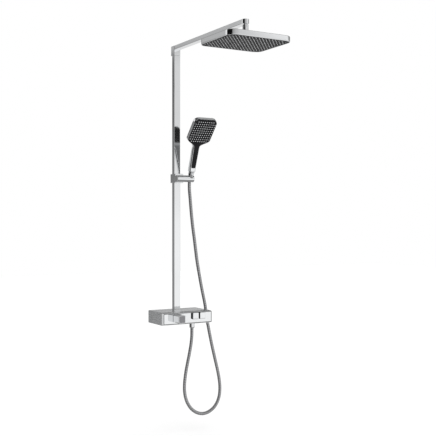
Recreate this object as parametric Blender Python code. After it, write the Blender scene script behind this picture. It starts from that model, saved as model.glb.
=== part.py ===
"""Wall-mounted rainfall shower column with mixer, hand shower and rain head.

Metres, +Z up. The wall is the plane Y = 0 and the room is on the -Y side.
The origin is the middle of the mixer's mounting plate, on the wall.
"""
import math

import bmesh
import bpy
from mathutils import Matrix, Vector

GAP = 0.0003                    # clearance between touching pieces

# Mixer
MIXER_LEFT = -0.121
MIXER_RIGHT = 0.104
MIXER_MID_X = (MIXER_LEFT + MIXER_RIGHT) / 2
MIXER_WIDTH = MIXER_RIGHT - MIXER_LEFT
MIXER_TOP = 0.025
MIXER_BOTTOM = -0.0265
MIXER_DEPTH = 0.139
PANEL_DEPTH = 0.0140
PANEL_HEIGHT = 0.0490
WALL_SHEET = 0.0025
BACK_CORNER = 0.004
PLATE_THICKNESS = 0.003
INLET_SPACING = 0.150
BODY_BACK = -0.045
BODY_FRONT = -0.085
BODY_HALF_HEIGHT = 0.016

# Controls on the front panel
KNOB_X = -0.060
KNOB_Z = 0.002
KNOB_WIDTH = 0.032
KNOB_HEIGHT = 0.033
KNOB_FRONT = -0.186
BUTTON_WIDTH = 0.0260
BUTTON_HEIGHT = 0.0270
BUTTON_FRONT = -0.150
BUTTON_Z = 0.0075
BUTTONS_X = {"rain": 0.0228, "hand": 0.0550}
BUTTON_TRAVEL = 0.004

# Column
COLUMN_HEIGHT = 1.100
RISER_WIDTH = 0.029
RISER_DEPTH = 0.020
RISER_BACK = -0.009
RISER_Y = RISER_BACK - RISER_DEPTH / 2
RISER_FRONT = RISER_BACK - RISER_DEPTH
TUBE_WALL = 0.0015
ARM_WIDTH = 0.027
ARM_HEIGHT = 0.017
ARM_TOP = MIXER_TOP + COLUMN_HEIGHT
ARM_Z = ARM_TOP - ARM_HEIGHT / 2
ARM_BOTTOM = ARM_TOP - ARM_HEIGHT
ARM_REACH = 0.560
ELBOW_HEIGHT = 0.040
ELBOW_BOTTOM = ARM_TOP - ELBOW_HEIGHT
PLUG_LENGTH = 0.025

# Rain head
HEAD_WIDTH = 0.265
HEAD_DEPTH = 0.231
HEAD_THICKNESS = 0.021
HEAD_CORNER = 0.034
HEAD_BOTTOM = MIXER_TOP + 1.012
HEAD_TOP = HEAD_BOTTOM + HEAD_THICKNESS
BALL_Z = ARM_BOTTOM - 0.016
BALL_RADIUS = 0.0095
NUT_RADIUS = 0.0115
NUT_TOP = ARM_BOTTOM - 0.003
NUT_BOTTOM = NUT_TOP - 0.027

# Slider and handset holder
SLIDER_HALF = 0.0195
SLIDER_BACK = -0.0035
SLIDER_FRONT = -0.0465
SLIDER_BOTTOM = 0.552
SLIDER_TOP = 0.589
BAR_Y = -0.062
BAR_Z = 0.5688
BAR_RADIUS = 0.0140
BAR_BORE = 0.0120
BAR_LEFT = -0.0218
BAR_RIGHT = 0.0572
BAR_CAP = 0.002
SOCKET_X = 0.043
HANDLE_TILT = math.radians(21)
HEAD_TILT = math.radians(42)

# Handset, measured from the holder bar's axis along the handle
COLLAR_START = 0.0270
HANDLE_START = 0.0320
COVER_START = 0.0500
NECK_START = 0.1400
HANDSET_HEAD_MID = 0.2170
HANDSET_END = 0.2780
HANDSET_WIDTH = 0.104
COVER_THICKNESS = 0.0025

# Hose
HOSE_RADIUS = 0.007
OUTLET_X = 0.046
OUTLET_Y = -0.072
OUTLET_NUT_BOTTOM = -0.051
OUTLET_NUT_RADIUS = 0.0115
HOSE_ROUTE = [
    (0.0430, -0.0607, 0.5668), (0.0430, -0.0565, 0.5560), (0.0436, -0.0538, 0.5420),
    (0.0448, -0.0530, 0.5200), (0.0477, -0.0545, 0.4810), (0.0518, -0.0570, 0.4220),
    (0.0572, -0.0590, 0.3680), (0.0640, -0.0612, 0.3140), (0.0735, -0.0640, 0.2340),
    (0.0840, -0.0660, 0.1710), (0.0955, -0.0685, 0.1080), (0.1095, -0.0710, 0.0400),
    (0.1180, -0.0720, -0.0200), (0.1270, -0.0720, -0.0640), (0.1400, -0.0720, -0.1220),
    (0.1550, -0.0720, -0.1820), (0.1685, -0.0720, -0.2340), (0.1780, -0.0720, -0.2800),
    (0.1810, -0.0720, -0.3180), (0.1775, -0.0720, -0.3490), (0.1680, -0.0720, -0.3730),
    (0.1530, -0.0720, -0.3930), (0.1340, -0.0720, -0.4060), (0.1140, -0.0720, -0.4130),
    (0.0920, -0.0720, -0.4135), (0.0665, -0.0720, -0.4050), (0.0430, -0.0720, -0.3870),
    (0.0260, -0.0720, -0.3630), (0.0155, -0.0720, -0.3360), (0.0110, -0.0720, -0.3050),
    (0.0120, -0.0720, -0.2720), (0.0175, -0.0720, -0.2330), (0.0255, -0.0720, -0.1950),
    (0.0335, -0.0720, -0.1600), (0.0405, -0.0720, -0.1250), (0.0450, -0.0720, -0.0900),
    (0.0460, -0.0720, -0.0513),
]
HOSE_SPACING = 0.020

COLOURS = {
    "chrome": ((0.78, 0.79, 0.80), 0.08, 1.0),
    "brushed": ((0.55, 0.56, 0.57), 0.28, 1.0),
    "steel": ((0.60, 0.61, 0.62), 0.30, 1.0),
    "brass": ((0.72, 0.55, 0.28), 0.35, 1.0),
    "black": ((0.02, 0.02, 0.022), 0.35, 0.0),
    "plastic": ((0.75, 0.75, 0.74), 0.45, 0.0),
    "rubber": ((0.05, 0.05, 0.05), 0.70, 0.0),
    "silicone": ((0.45, 0.46, 0.48), 0.60, 0.0),
    "hose": ((0.62, 0.63, 0.65), 0.30, 1.0),
}


# ---------------------------------------------------------------- helpers

def clear_scene():
    for obj in list(bpy.data.objects):
        bpy.data.objects.remove(obj, do_unlink=True)


def material(kind):
    """One Principled material for each finish, shared by the pieces that have it."""
    if kind in bpy.data.materials:
        return bpy.data.materials[kind]
    colour, roughness, metallic = COLOURS[kind]
    mat = bpy.data.materials.new(kind)
    mat.use_nodes = True
    shader = mat.node_tree.nodes["Principled BSDF"]
    shader.inputs["Base Color"].default_value = (*colour, 1.0)
    shader.inputs["Roughness"].default_value = roughness
    shader.inputs["Metallic"].default_value = metallic
    return mat


def finish_piece(name, bm, kind, pivot=(0, 0, 0)):
    """Turn a bmesh in world coordinates into an object whose origin is the pivot."""
    bmesh.ops.recalc_face_normals(bm, faces=bm.faces)
    bmesh.ops.translate(bm, vec=-Vector(pivot), verts=bm.verts)
    mesh = bpy.data.meshes.new(name)
    bm.to_mesh(mesh)
    bm.free()
    mesh.materials.append(material(kind))
    mesh.shade_smooth()
    mesh.set_sharp_from_angle(angle=math.radians(35))
    obj = bpy.data.objects.new(name, mesh)
    obj.location = pivot
    bpy.context.collection.objects.link(obj)
    return obj


def skin(bm, loops, closed=False):
    """Join loops of points with quads; cap both ends, or join the last loop to the first."""
    rings = [[bm.verts.new(point) for point in loop] for loop in loops]
    pairs = list(zip(rings, rings[1:]))
    if closed:
        pairs.append((rings[-1], rings[0]))
    for lower, upper in pairs:
        count = len(lower)
        for i in range(count):
            j = (i + 1) % count
            bm.faces.new((lower[i], lower[j], upper[j], upper[i]))
    if not closed:
        bm.faces.new(rings[0])
        bm.faces.new(rings[-1])


def loft(name, loops, kind, closed=False, pivot=(0, 0, 0)):
    bm = bmesh.new()
    skin(bm, loops, closed)
    return finish_piece(name, bm, kind, pivot)


def rounded_rectangle(width, height, radius, corner_steps=4):
    """Outline points, anticlockwise from the right side, centred on zero."""
    points = []
    for quarter, (sx, sy) in enumerate(((1, 1), (-1, 1), (-1, -1), (1, -1))):
        cx = sx * (width / 2 - radius)
        cy = sy * (height / 2 - radius)
        for step in range(corner_steps + 1):
            angle = math.pi / 2 * (quarter + step / corner_steps)
            points.append((cx + radius * math.cos(angle), cy + radius * math.sin(angle)))
    return points


def circle(radius, count=24):
    return [(radius * math.cos(math.tau * i / count), radius * math.sin(math.tau * i / count))
            for i in range(count)]


def place_z(outline, z, x=0.0, y=0.0):
    return [(x + a, y + b, z) for a, b in outline]


def place_y(outline, y, x=0.0, z=0.0):
    return [(x + a, y, z + b) for a, b in outline]


def place_x(outline, x, y=0.0, z=0.0):
    return [(x, y + a, z + b) for a, b in outline]


def box(name, low, high, kind, edge=0.0, pivot=None):
    """A box between two corners, with a small bevel where an edge is given."""
    low, high = Vector(low), Vector(high)
    bm = bmesh.new()
    bmesh.ops.create_cube(bm, size=1.0)
    size = high - low
    bmesh.ops.scale(bm, vec=size, verts=bm.verts)
    bmesh.ops.translate(bm, vec=(low + high) / 2, verts=bm.verts)
    if edge:
        bmesh.ops.bevel(bm, geom=bm.edges[:], offset=edge, segments=2, profile=0.5, affect="EDGES")
    return finish_piece(name, bm, kind, pivot or (low + high) / 2)


def turned(name, profile, kind, base, direction=(0, 0, 1), count=24, closed=False, pivot=None):
    """Turn (radius, height) points about an axis that starts at base.

    An open profile is capped at both ends; a closed one leaves a hole along the axis.
    """
    turn = Vector((0, 0, 1)).rotation_difference(Vector(direction)).to_matrix().to_4x4()
    frame = Matrix.Translation(base) @ turn
    loops = []
    for radius, height in profile:
        loops.append([frame @ Vector((a, b, height)) for a, b in circle(radius, count)])
    return loft(name, loops, kind, closed, pivot or base)


def cutter(obj):
    """A shape that only cuts others: it is drawn as wire and is not a piece."""
    obj.hide_render = True
    obj.display_type = "WIRE"
    return obj


def cut(target, tool, operation="DIFFERENCE"):
    modifier = target.modifiers.new(tool.name, "BOOLEAN")
    modifier.operation = operation
    modifier.solver = "EXACT"
    modifier.object = cutter(tool)


def along_handle(distance, side=0.0, front=0.0, angle=HANDLE_TILT):
    """A point on the handle's line: distance up it from the holder bar's axis,
    side along X and front out of its face."""
    y = BAR_Y - distance * math.sin(angle) - front * math.cos(angle)
    z = BAR_Z + distance * math.cos(angle) - front * math.sin(angle)
    return Vector((SOCKET_X + side, y, z))


HANDLE_AXIS = Vector((0, -math.sin(HANDLE_TILT), math.cos(HANDLE_TILT)))
BAR_CENTRE = Vector((SOCKET_X, BAR_Y, BAR_Z))


# ---------------------------------------------------------------- mixer

def mount_plate():
    half_width = 0.095
    half_height = 0.019
    plate = box("mount_plate", (MIXER_MID_X - half_width, -PLATE_THICKNESS, -half_height),
                (MIXER_MID_X + half_width, 0, half_height), "steel", 0.0004)
    for side in (-1, 1):
        hole = turned(f"plate_hole_{side}", [(0.0142, -0.005), (0.0142, 0.010)], "steel",
                      (MIXER_MID_X + side * INLET_SPACING / 2, 0, 0), (0, -1, 0))
        cut(plate, hole)
        screw_hole = turned(f"plate_screw_hole_{side}", [(0.0026, -0.005), (0.0026, 0.010)], "steel",
                            (MIXER_MID_X + side * 0.035, 0, 0), (0, -1, 0), 16)
        cut(plate, screw_hole)


def plate_screws():
    """Pan-head screws through the plate into the wall; only what stands in front is made."""
    for name, side in (("plate_screw_left", -1), ("plate_screw_right", 1)):
        turned(name, [(0.0023, 0.0002), (0.0023, PLATE_THICKNESS + GAP), (0.0045, PLATE_THICKNESS + GAP),
                      (0.0045, 0.0045), (0.0030, 0.0058)], "steel",
               (MIXER_MID_X + side * 0.035, 0, 0), (0, -1, 0), 16)


def inlets():
    """Each water inlet is a sleeve from the wall, a union nut and a filter disc inside."""
    for name, side in (("hot", -1), ("cold", 1)):
        base = (MIXER_MID_X + side * INLET_SPACING / 2, 0, 0)
        turned(f"{name}_inlet_sleeve",
               [(0.0138, 0), (0.0138, 0.0240), (0.0090, 0.0240), (0.0090, 0)],
               "brass", base, (0, -1, 0), 24, True)
        turned(f"{name}_union_nut",
               [(0.0175, 0.0243), (0.0175, 0.0447), (0.0100, 0.0447), (0.0100, 0.0243)],
               "brass", base, (0, -1, 0), 6, True)
        turned(f"{name}_inlet_filter",
               [(0.0084, 0.0060), (0.0084, 0.0080)], "steel", base, (0, -1, 0), 20)


def mixer_body():
    """Brass body: a bar with bosses for the cartridges, the column and the hose outlet."""
    body = box("mixer_body", (MIXER_MID_X - 0.095, BODY_FRONT, -BODY_HALF_HEIGHT),
               (MIXER_MID_X + 0.095, BODY_BACK, BODY_HALF_HEIGHT), "brass", 0.003)
    depth_mid = (BODY_BACK + BODY_FRONT) / 2
    bosses = [
        ("knob_boss", 0.0130, (KNOB_X, depth_mid, KNOB_Z), (0, -1, 0), 0.030),
        ("rain_boss", 0.0110, (BUTTONS_X["rain"], depth_mid, 0.003), (0, -1, 0), 0.026),
        ("hand_boss", 0.0110, (BUTTONS_X["hand"], depth_mid, 0.003), (0, -1, 0), 0.026),
        ("outlet_boss", 0.0100, (OUTLET_X, OUTLET_Y, 0), (0, 0, -1), 0.0185),
    ]
    for name, radius, base, direction, length in bosses:
        boss = turned(name, [(radius, 0), (radius, length)], "brass", base, direction)
        cut(body, boss, "UNION")
    rear = box("riser_boss", (-0.012, -0.050, -0.012), (0.012, -0.008, 0.0140), "brass")
    cut(body, rear, "UNION")


def cartridges():
    turned("temperature_cartridge",
           [(0.0115, 0), (0.0115, 0.0260), (0.0055, 0.0260), (0.0055, 0.0500)], "plastic",
           (KNOB_X, -0.0953, KNOB_Z), (0, -1, 0))
    for name, x in BUTTONS_X.items():
        turned(f"{name}_valve_cartridge",
               [(0.0100, 0), (0.0100, 0.0120), (0.0048, 0.0120), (0.0048, 0.0180)], "plastic",
               (x, -0.0913, 0.003), (0, -1, 0))


def housing():
    """Sleeve around the mixer, open at the wall; its upright back corners are rounded."""
    mid_z = (MIXER_TOP + MIXER_BOTTOM) / 2
    height = MIXER_TOP - MIXER_BOTTOM
    outer, inner = [], []
    steps = 4
    for step in range(steps + 1):
        angle = math.pi / 2 * step / steps
        inset = BACK_CORNER * (1 - math.sin(angle))
        depth = -BACK_CORNER * (1 - math.cos(angle))
        outline = rounded_rectangle(MIXER_WIDTH - 2 * inset, height, 0.003)
        outer.append(place_y(outline, depth, MIXER_MID_X, mid_z))
        hollow = rounded_rectangle(MIXER_WIDTH - 2 * inset - 2 * WALL_SHEET,
                                   height - 2 * WALL_SHEET, 0.001)
        inner.append(place_y(hollow, depth, MIXER_MID_X, mid_z))
    front = -MIXER_DEPTH + PANEL_DEPTH + GAP
    full = rounded_rectangle(MIXER_WIDTH, height, 0.003)
    full_hollow = rounded_rectangle(MIXER_WIDTH - 2 * WALL_SHEET, height - 2 * WALL_SHEET, 0.001)
    outer.append(place_y(full, front, MIXER_MID_X, mid_z))
    inner.append(place_y(full_hollow, front, MIXER_MID_X, mid_z))
    shell = loft("mixer_housing", outer + inner[::-1], "brushed", True)
    riser_hole = turned("housing_riser_hole", [(0.0095, 0), (0.0095, 0.020)], "brushed",
                        (0, RISER_Y, MIXER_TOP - 0.010))
    cut(shell, riser_hole)
    outlet_hole = turned("housing_outlet_hole", [(0.0105, 0), (0.0105, 0.020)], "brushed",
                         (OUTLET_X, OUTLET_Y, MIXER_BOTTOM - 0.010))
    cut(shell, outlet_hole)


def front_panel():
    """Tray-shaped front, with holes for the knob's shank and the two buttons."""
    back = -MIXER_DEPTH + PANEL_DEPTH
    edge = 0.0010
    full = rounded_rectangle(MIXER_WIDTH, PANEL_HEIGHT, 0.003)
    face = rounded_rectangle(MIXER_WIDTH - 2 * edge, PANEL_HEIGHT - 2 * edge, 0.003 - edge)
    hollow = rounded_rectangle(MIXER_WIDTH - 2 * WALL_SHEET, PANEL_HEIGHT - 2 * WALL_SHEET, 0.001)
    loops = [place_y(face, -MIXER_DEPTH, MIXER_MID_X),
             place_y(full, -MIXER_DEPTH + edge, MIXER_MID_X),
             place_y(full, back, MIXER_MID_X),
             place_y(hollow, back, MIXER_MID_X),
             place_y(hollow, -MIXER_DEPTH + 0.003, MIXER_MID_X)]
    panel = loft("front_panel", loops, "chrome")
    knob_hole = turned("panel_knob_hole", [(0.0125, 0), (0.0125, 0.020)], "chrome",
                       (KNOB_X, -MIXER_DEPTH - 0.005, KNOB_Z), (0, 1, 0))
    cut(panel, knob_hole)
    for name, x in BUTTONS_X.items():
        outline = rounded_rectangle(BUTTON_WIDTH + 2 * GAP, BUTTON_HEIGHT + 2 * GAP, 0.0033)
        hole = loft(f"panel_{name}_hole",
                    [place_y(outline, -MIXER_DEPTH - 0.005, x, BUTTON_Z),
                     place_y(outline, -MIXER_DEPTH + 0.010, x, BUTTON_Z)], "chrome")
        cut(panel, hole)


def knob():
    """Block knob on a round shank; a chrome sleeve with a darker front plate."""
    axis = (KNOB_X, -MIXER_DEPTH, KNOB_Z)
    back = -MIXER_DEPTH - 0.0015
    shoulder = KNOB_FRONT + 0.0030
    full = rounded_rectangle(KNOB_WIDTH, KNOB_HEIGHT, 0.004)
    recess = rounded_rectangle(KNOB_WIDTH - 0.0024, KNOB_HEIGHT - 0.0024, 0.003)
    block = loft("temperature_knob",
                 [place_y(full, back, KNOB_X, KNOB_Z), place_y(full, KNOB_FRONT, KNOB_X, KNOB_Z),
                  place_y(recess, KNOB_FRONT, KNOB_X, KNOB_Z),
                  place_y(recess, shoulder, KNOB_X, KNOB_Z)], "chrome", pivot=axis)
    shank = turned("knob_shank", [(0.0115, 0), (0.0115, 0.0160)], "chrome",
                   (KNOB_X, back + 0.0120, KNOB_Z), (0, -1, 0))
    cut(block, shank, "UNION")
    bore = turned("knob_bore", [(0.0058, 0), (0.0058, 0.0260)], "chrome",
                  (KNOB_X, back + 0.0140, KNOB_Z), (0, -1, 0))
    cut(block, bore)
    pocket = box("knob_button_pocket",
                 (KNOB_X - 0.0053, -0.1733, KNOB_Z + KNOB_HEIGHT / 2 - 0.0055),
                 (KNOB_X + 0.0053, -0.1607, KNOB_Z + KNOB_HEIGHT / 2 + 0.005), "chrome")
    cut(block, pocket)
    face = rounded_rectangle(KNOB_WIDTH - 0.0024 - 2 * GAP, KNOB_HEIGHT - 0.0024 - 2 * GAP, 0.0027)
    loft("knob_front_plate",
         [place_y(face, shoulder - GAP, KNOB_X, KNOB_Z), place_y(face, KNOB_FRONT, KNOB_X, KNOB_Z)],
         "black", pivot=axis)
    box("knob_stop_button", (KNOB_X - 0.0050, -0.1730, KNOB_Z + KNOB_HEIGHT / 2 - 0.0030),
        (KNOB_X + 0.0050, -0.1610, KNOB_Z + KNOB_HEIGHT / 2 + 0.0012), "black", 0.0006)


def push_buttons():
    """Each button is a cap with a stem, pushed out by a spring around the stem."""
    for name, x in BUTTONS_X.items():
        edge = 0.0012
        full = rounded_rectangle(BUTTON_WIDTH, BUTTON_HEIGHT, 0.003)
        face = rounded_rectangle(BUTTON_WIDTH - 2 * edge, BUTTON_HEIGHT - 2 * edge, 0.003 - edge)
        hollow = rounded_rectangle(BUTTON_WIDTH - 0.004, BUTTON_HEIGHT - 0.004, 0.001)
        pivot = (x, BUTTON_FRONT, BUTTON_Z)
        back = -0.1330
        inside = BUTTON_FRONT + 0.0030
        cap = loft(f"{name}_button",
                   [place_y(face, BUTTON_FRONT, x, BUTTON_Z),
                    place_y(full, BUTTON_FRONT + edge, x, BUTTON_Z),
                    place_y(full, back, x, BUTTON_Z),
                    place_y(hollow, back, x, BUTTON_Z),
                    place_y(hollow, inside, x, BUTTON_Z)], "chrome", pivot=pivot)
        stem = turned(f"{name}_button_stem", [(0.0030, 0), (0.0030, 0.0340)], "chrome",
                      (x, inside - 0.001, 0.003), (0, 1, 0), 16)
        cut(cap, stem, "UNION")
        spring(f"{name}_button_spring", x, inside + GAP, -0.1036)


def spring(name, x, front, back):
    """A wire helix around a button's stem."""
    turns = 5
    per_turn = 10
    coil_radius = 0.0062
    wire = 0.0005
    count = turns * per_turn
    length = back - front - 2 * wire
    data = bpy.data.curves.new(name, "CURVE")
    data.dimensions = "3D"
    data.bevel_depth = wire
    data.bevel_resolution = 0
    data.use_fill_caps = True
    spline = data.splines.new("POLY")
    spline.points.add(count)
    for i, point in enumerate(spline.points):
        angle = math.tau * i / per_turn
        point.co = (coil_radius * math.cos(angle), front + wire + length * i / count,
                    coil_radius * math.sin(angle), 1.0)
    data.materials.append(material("steel"))
    obj = bpy.data.objects.new(name, data)
    obj.location = (x, 0, 0.003)
    bpy.context.collection.objects.link(obj)


def hose_outlet():
    """Threaded nipple under the mixer, its washer, and the hose's lower nut."""
    base = (OUTLET_X, OUTLET_Y, 0)
    turned("outlet_nipple",
           [(0.0095, -0.0188), (0.0095, -0.0300), (0.0085, -0.0300), (0.0085, -0.0420),
            (0.0050, -0.0420), (0.0050, -0.0188)], "chrome", base, closed=True)
    turned("outlet_washer",
           [(0.0083, -0.0423), (0.0083, -0.0443), (0.0048, -0.0443), (0.0048, -0.0423)],
           "rubber", base, closed=True)
    turned("hose_lower_nut",
           [(0.0105, -0.0303), (OUTLET_NUT_RADIUS, -0.0313), (OUTLET_NUT_RADIUS, -0.0490),
            (0.0100, OUTLET_NUT_BOTTOM), (0.0040, OUTLET_NUT_BOTTOM), (0.0040, -0.0446),
            (0.0088, -0.0446), (0.0088, -0.0303)], "chrome", base, closed=True)


# ---------------------------------------------------------------- column

def riser_connector():
    """Tube from the mixer up through the housing, ending in a plug inside the riser."""
    connector = turned("riser_connector", [(0.0080, 0.0143), (0.0080, 0.0300)], "brass",
                       (0, RISER_Y, 0))
    plug = rounded_rectangle(RISER_WIDTH - 2 * TUBE_WALL - 2 * GAP,
                             RISER_DEPTH - 2 * TUBE_WALL - 2 * GAP, 0.001)
    head = loft("riser_plug", [place_z(plug, MIXER_TOP + 0.0010, 0, RISER_Y),
                               place_z(plug, MIXER_TOP + PLUG_LENGTH, 0, RISER_Y)], "brass")
    cut(connector, head, "UNION")
    bore = turned("connector_bore", [(0.0050, 0.0200), (0.0050, 0.0600)], "brass", (0, RISER_Y, 0))
    cut(connector, bore)


def riser():
    outer = rounded_rectangle(RISER_WIDTH, RISER_DEPTH, 0.0015, 3)
    inner = rounded_rectangle(RISER_WIDTH - 2 * TUBE_WALL, RISER_DEPTH - 2 * TUBE_WALL, 0.0008, 3)
    low = MIXER_TOP + GAP
    high = ELBOW_BOTTOM - GAP
    loft("riser_tube", [place_z(outer, low, 0, RISER_Y), place_z(outer, high, 0, RISER_Y),
                        place_z(inner, high, 0, RISER_Y), place_z(inner, low, 0, RISER_Y)],
         "chrome", True)


def elbow():
    """Corner block against the wall, with a plug down into the riser and one into the arm."""
    front = RISER_FRONT - GAP
    half = RISER_WIDTH / 2 + 0.0002
    block = box("elbow", (-half, front, ELBOW_BOTTOM), (half, 0, ARM_TOP), "chrome", 0.0008)
    clear = TUBE_WALL + GAP
    down = box("elbow_riser_plug",
               (-RISER_WIDTH / 2 + clear, RISER_FRONT + clear, ELBOW_BOTTOM - PLUG_LENGTH),
               (RISER_WIDTH / 2 - clear, RISER_BACK - clear, ELBOW_BOTTOM + 0.002), "chrome")
    cut(block, down, "UNION")
    out = box("elbow_arm_plug",
              (-ARM_WIDTH / 2 + clear, front - PLUG_LENGTH, ARM_BOTTOM + clear),
              (ARM_WIDTH / 2 - clear, front + 0.002, ARM_TOP - clear), "chrome")
    cut(block, out, "UNION")
    pocket = box("elbow_pocket", (-0.0103, -0.0053, ELBOW_BOTTOM + 0.0047),
                 (0.0103, 0.0100, ARM_TOP - 0.0047), "chrome")
    cut(block, pocket)
    screw_hole = turned("elbow_screw_hole", [(0.0017, -0.010), (0.0017, 0.006)], "chrome",
                        (0, -0.0027, ELBOW_BOTTOM), count=12)
    cut(block, screw_hole)


def wall_bracket():
    """Plate in the elbow's back, two screws, and the grub screw that locks the elbow to it."""
    low = ELBOW_BOTTOM + 0.0050
    high = ARM_TOP - 0.0050
    bracket = box("wall_bracket", (-0.0100, -0.0030, low), (0.0100, 0, high), "steel", 0.0003)
    middle = (low + high) / 2
    for name, side in (("bracket_screw_lower", -1), ("bracket_screw_upper", 1)):
        z = middle + side * 0.0085
        hole = turned(f"{name}_hole", [(0.0022, -0.005), (0.0022, 0.010)], "steel",
                      (0, 0, z), (0, -1, 0), 16)
        cut(bracket, hole)
        turned(name, [(0.0019, 0.0002), (0.0019, 0.0033), (0.0038, 0.0033), (0.0034, 0.0050)],
               "steel", (0, 0, z), (0, -1, 0), 16)
    turned("elbow_grub_screw", [(0.0014, -0.0005), (0.0014, 0.0043)], "steel",
           (0, -0.0027, ELBOW_BOTTOM), count=12)


def arm():
    """Rectangular arm tube and the round-ended block at its tip that carries the ball."""
    outer = rounded_rectangle(ARM_WIDTH, ARM_HEIGHT, 0.0015, 3)
    inner = rounded_rectangle(ARM_WIDTH - 2 * TUBE_WALL, ARM_HEIGHT - 2 * TUBE_WALL, 0.0008, 3)
    near = RISER_FRONT - 2 * GAP
    far = -ARM_REACH + 0.012
    loft("arm_tube", [place_y(outer, near, 0, ARM_Z), place_y(outer, far, 0, ARM_Z),
                      place_y(inner, far, 0, ARM_Z), place_y(inner, near, 0, ARM_Z)],
         "chrome", True)
    radius = ARM_WIDTH / 2
    tip = [(radius, far - GAP), (-radius, far - GAP)]
    steps = 16
    for step in range(steps + 1):
        angle = math.pi + math.pi * step / steps
        tip.append((radius * math.cos(angle), -ARM_REACH + radius * math.sin(angle)))
    block = loft("arm_end", [place_z(tip, ARM_BOTTOM), place_z(tip, ARM_TOP)], "chrome")
    clear = TUBE_WALL + GAP
    plug = box("arm_end_plug", (-radius + clear, far - 0.002, ARM_BOTTOM + clear),
               (radius - clear, far + PLUG_LENGTH, ARM_TOP - clear), "chrome")
    cut(block, plug, "UNION")
    socket = turned("arm_end_socket", [(0.0068, -0.005), (0.0068, 0.0110)], "chrome",
                    (0, -ARM_REACH, ARM_BOTTOM))
    cut(block, socket)


# ---------------------------------------------------------------- rain head

def ball_stud():
    """Threaded stem in the arm's end, with the ball below it."""
    base = (0, -ARM_REACH, BALL_Z)
    stem = 0.0055
    steps = 9
    top_angle = math.acos(stem / BALL_RADIUS)
    profile = []
    for step in range(steps + 1):
        angle = math.radians(-80) + (math.radians(80) + top_angle) * step / steps
        profile.append((BALL_RADIUS * math.cos(angle), BALL_RADIUS * math.sin(angle)))
    profile += [(stem, 0.0150), (0.0065, 0.0163), (0.0065, 0.0265)]
    turned("ball_stud", profile, "chrome", base)


def ball_joint():
    """Nut that holds the ball, and the seat ring under the ball."""
    base = (0, -ARM_REACH, BALL_Z)
    top = NUT_TOP - BALL_Z
    bottom = NUT_BOTTOM - BALL_Z
    turned("swivel_nut",
           [(NUT_RADIUS - 0.0008, top), (NUT_RADIUS, top - 0.0008), (NUT_RADIUS, bottom + 0.0008),
            (NUT_RADIUS - 0.0008, bottom), (0.0099, bottom), (0.0099, 0.0028), (0.0088, 0.0048),
            (0.0093, top)], "chrome", base, closed=True, count=32)
    turned("ball_seat", [(0.0096, bottom + 0.0010), (0.0096, -0.0070), (0.0066, -0.0070),
                         (0.0056, bottom + 0.0010)], "plastic", base, closed=True)


def rain_head():
    """Shallow tray open below, with a hub on top; a spray plate closes it."""
    pivot = (0, -ARM_REACH, BALL_Z)

    def outline(inset, corner=HEAD_CORNER):
        return rounded_rectangle(HEAD_WIDTH - 2 * inset, HEAD_DEPTH - 2 * inset, corner - inset, 8)

    def at(inset, z):
        return place_z(outline(inset), z, 0, -ARM_REACH)

    roof = HEAD_TOP - 0.0025
    shell = loft("rain_head_shell",
                 [at(0.0040, HEAD_TOP), at(0.0012, HEAD_TOP - 0.0012), at(0.0, HEAD_TOP - 0.0040),
                  at(0.0, HEAD_BOTTOM + 0.0010), at(0.0008, HEAD_BOTTOM), at(0.0024, HEAD_BOTTOM),
                  at(0.0024, roof)], "chrome", pivot=pivot)
    hub = turned("head_hub", [(0.0150, HEAD_TOP - 0.001 - BALL_Z), (0.0150, HEAD_TOP + 0.004 - BALL_Z),
                              (NUT_RADIUS, HEAD_TOP + 0.008 - BALL_Z),
                              (NUT_RADIUS, NUT_BOTTOM - GAP - BALL_Z)], "chrome", pivot, count=32)
    cut(shell, hub, "UNION")
    loft("rain_spray_plate", [at(0.0027, HEAD_BOTTOM + 0.0004), at(0.0027, HEAD_BOTTOM + 0.0036)],
         "black", pivot=pivot)
    loft("rain_nozzle_mat", [at(0.0060, HEAD_BOTTOM + 0.0039), at(0.0060, HEAD_BOTTOM + 0.0059)],
         "silicone", pivot=pivot)
    loft("rain_water_chamber", [at(0.0080, HEAD_BOTTOM + 0.0062), at(0.0080, roof - GAP)],
         "plastic", pivot=pivot)


# ---------------------------------------------------------------- slider and holder

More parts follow.
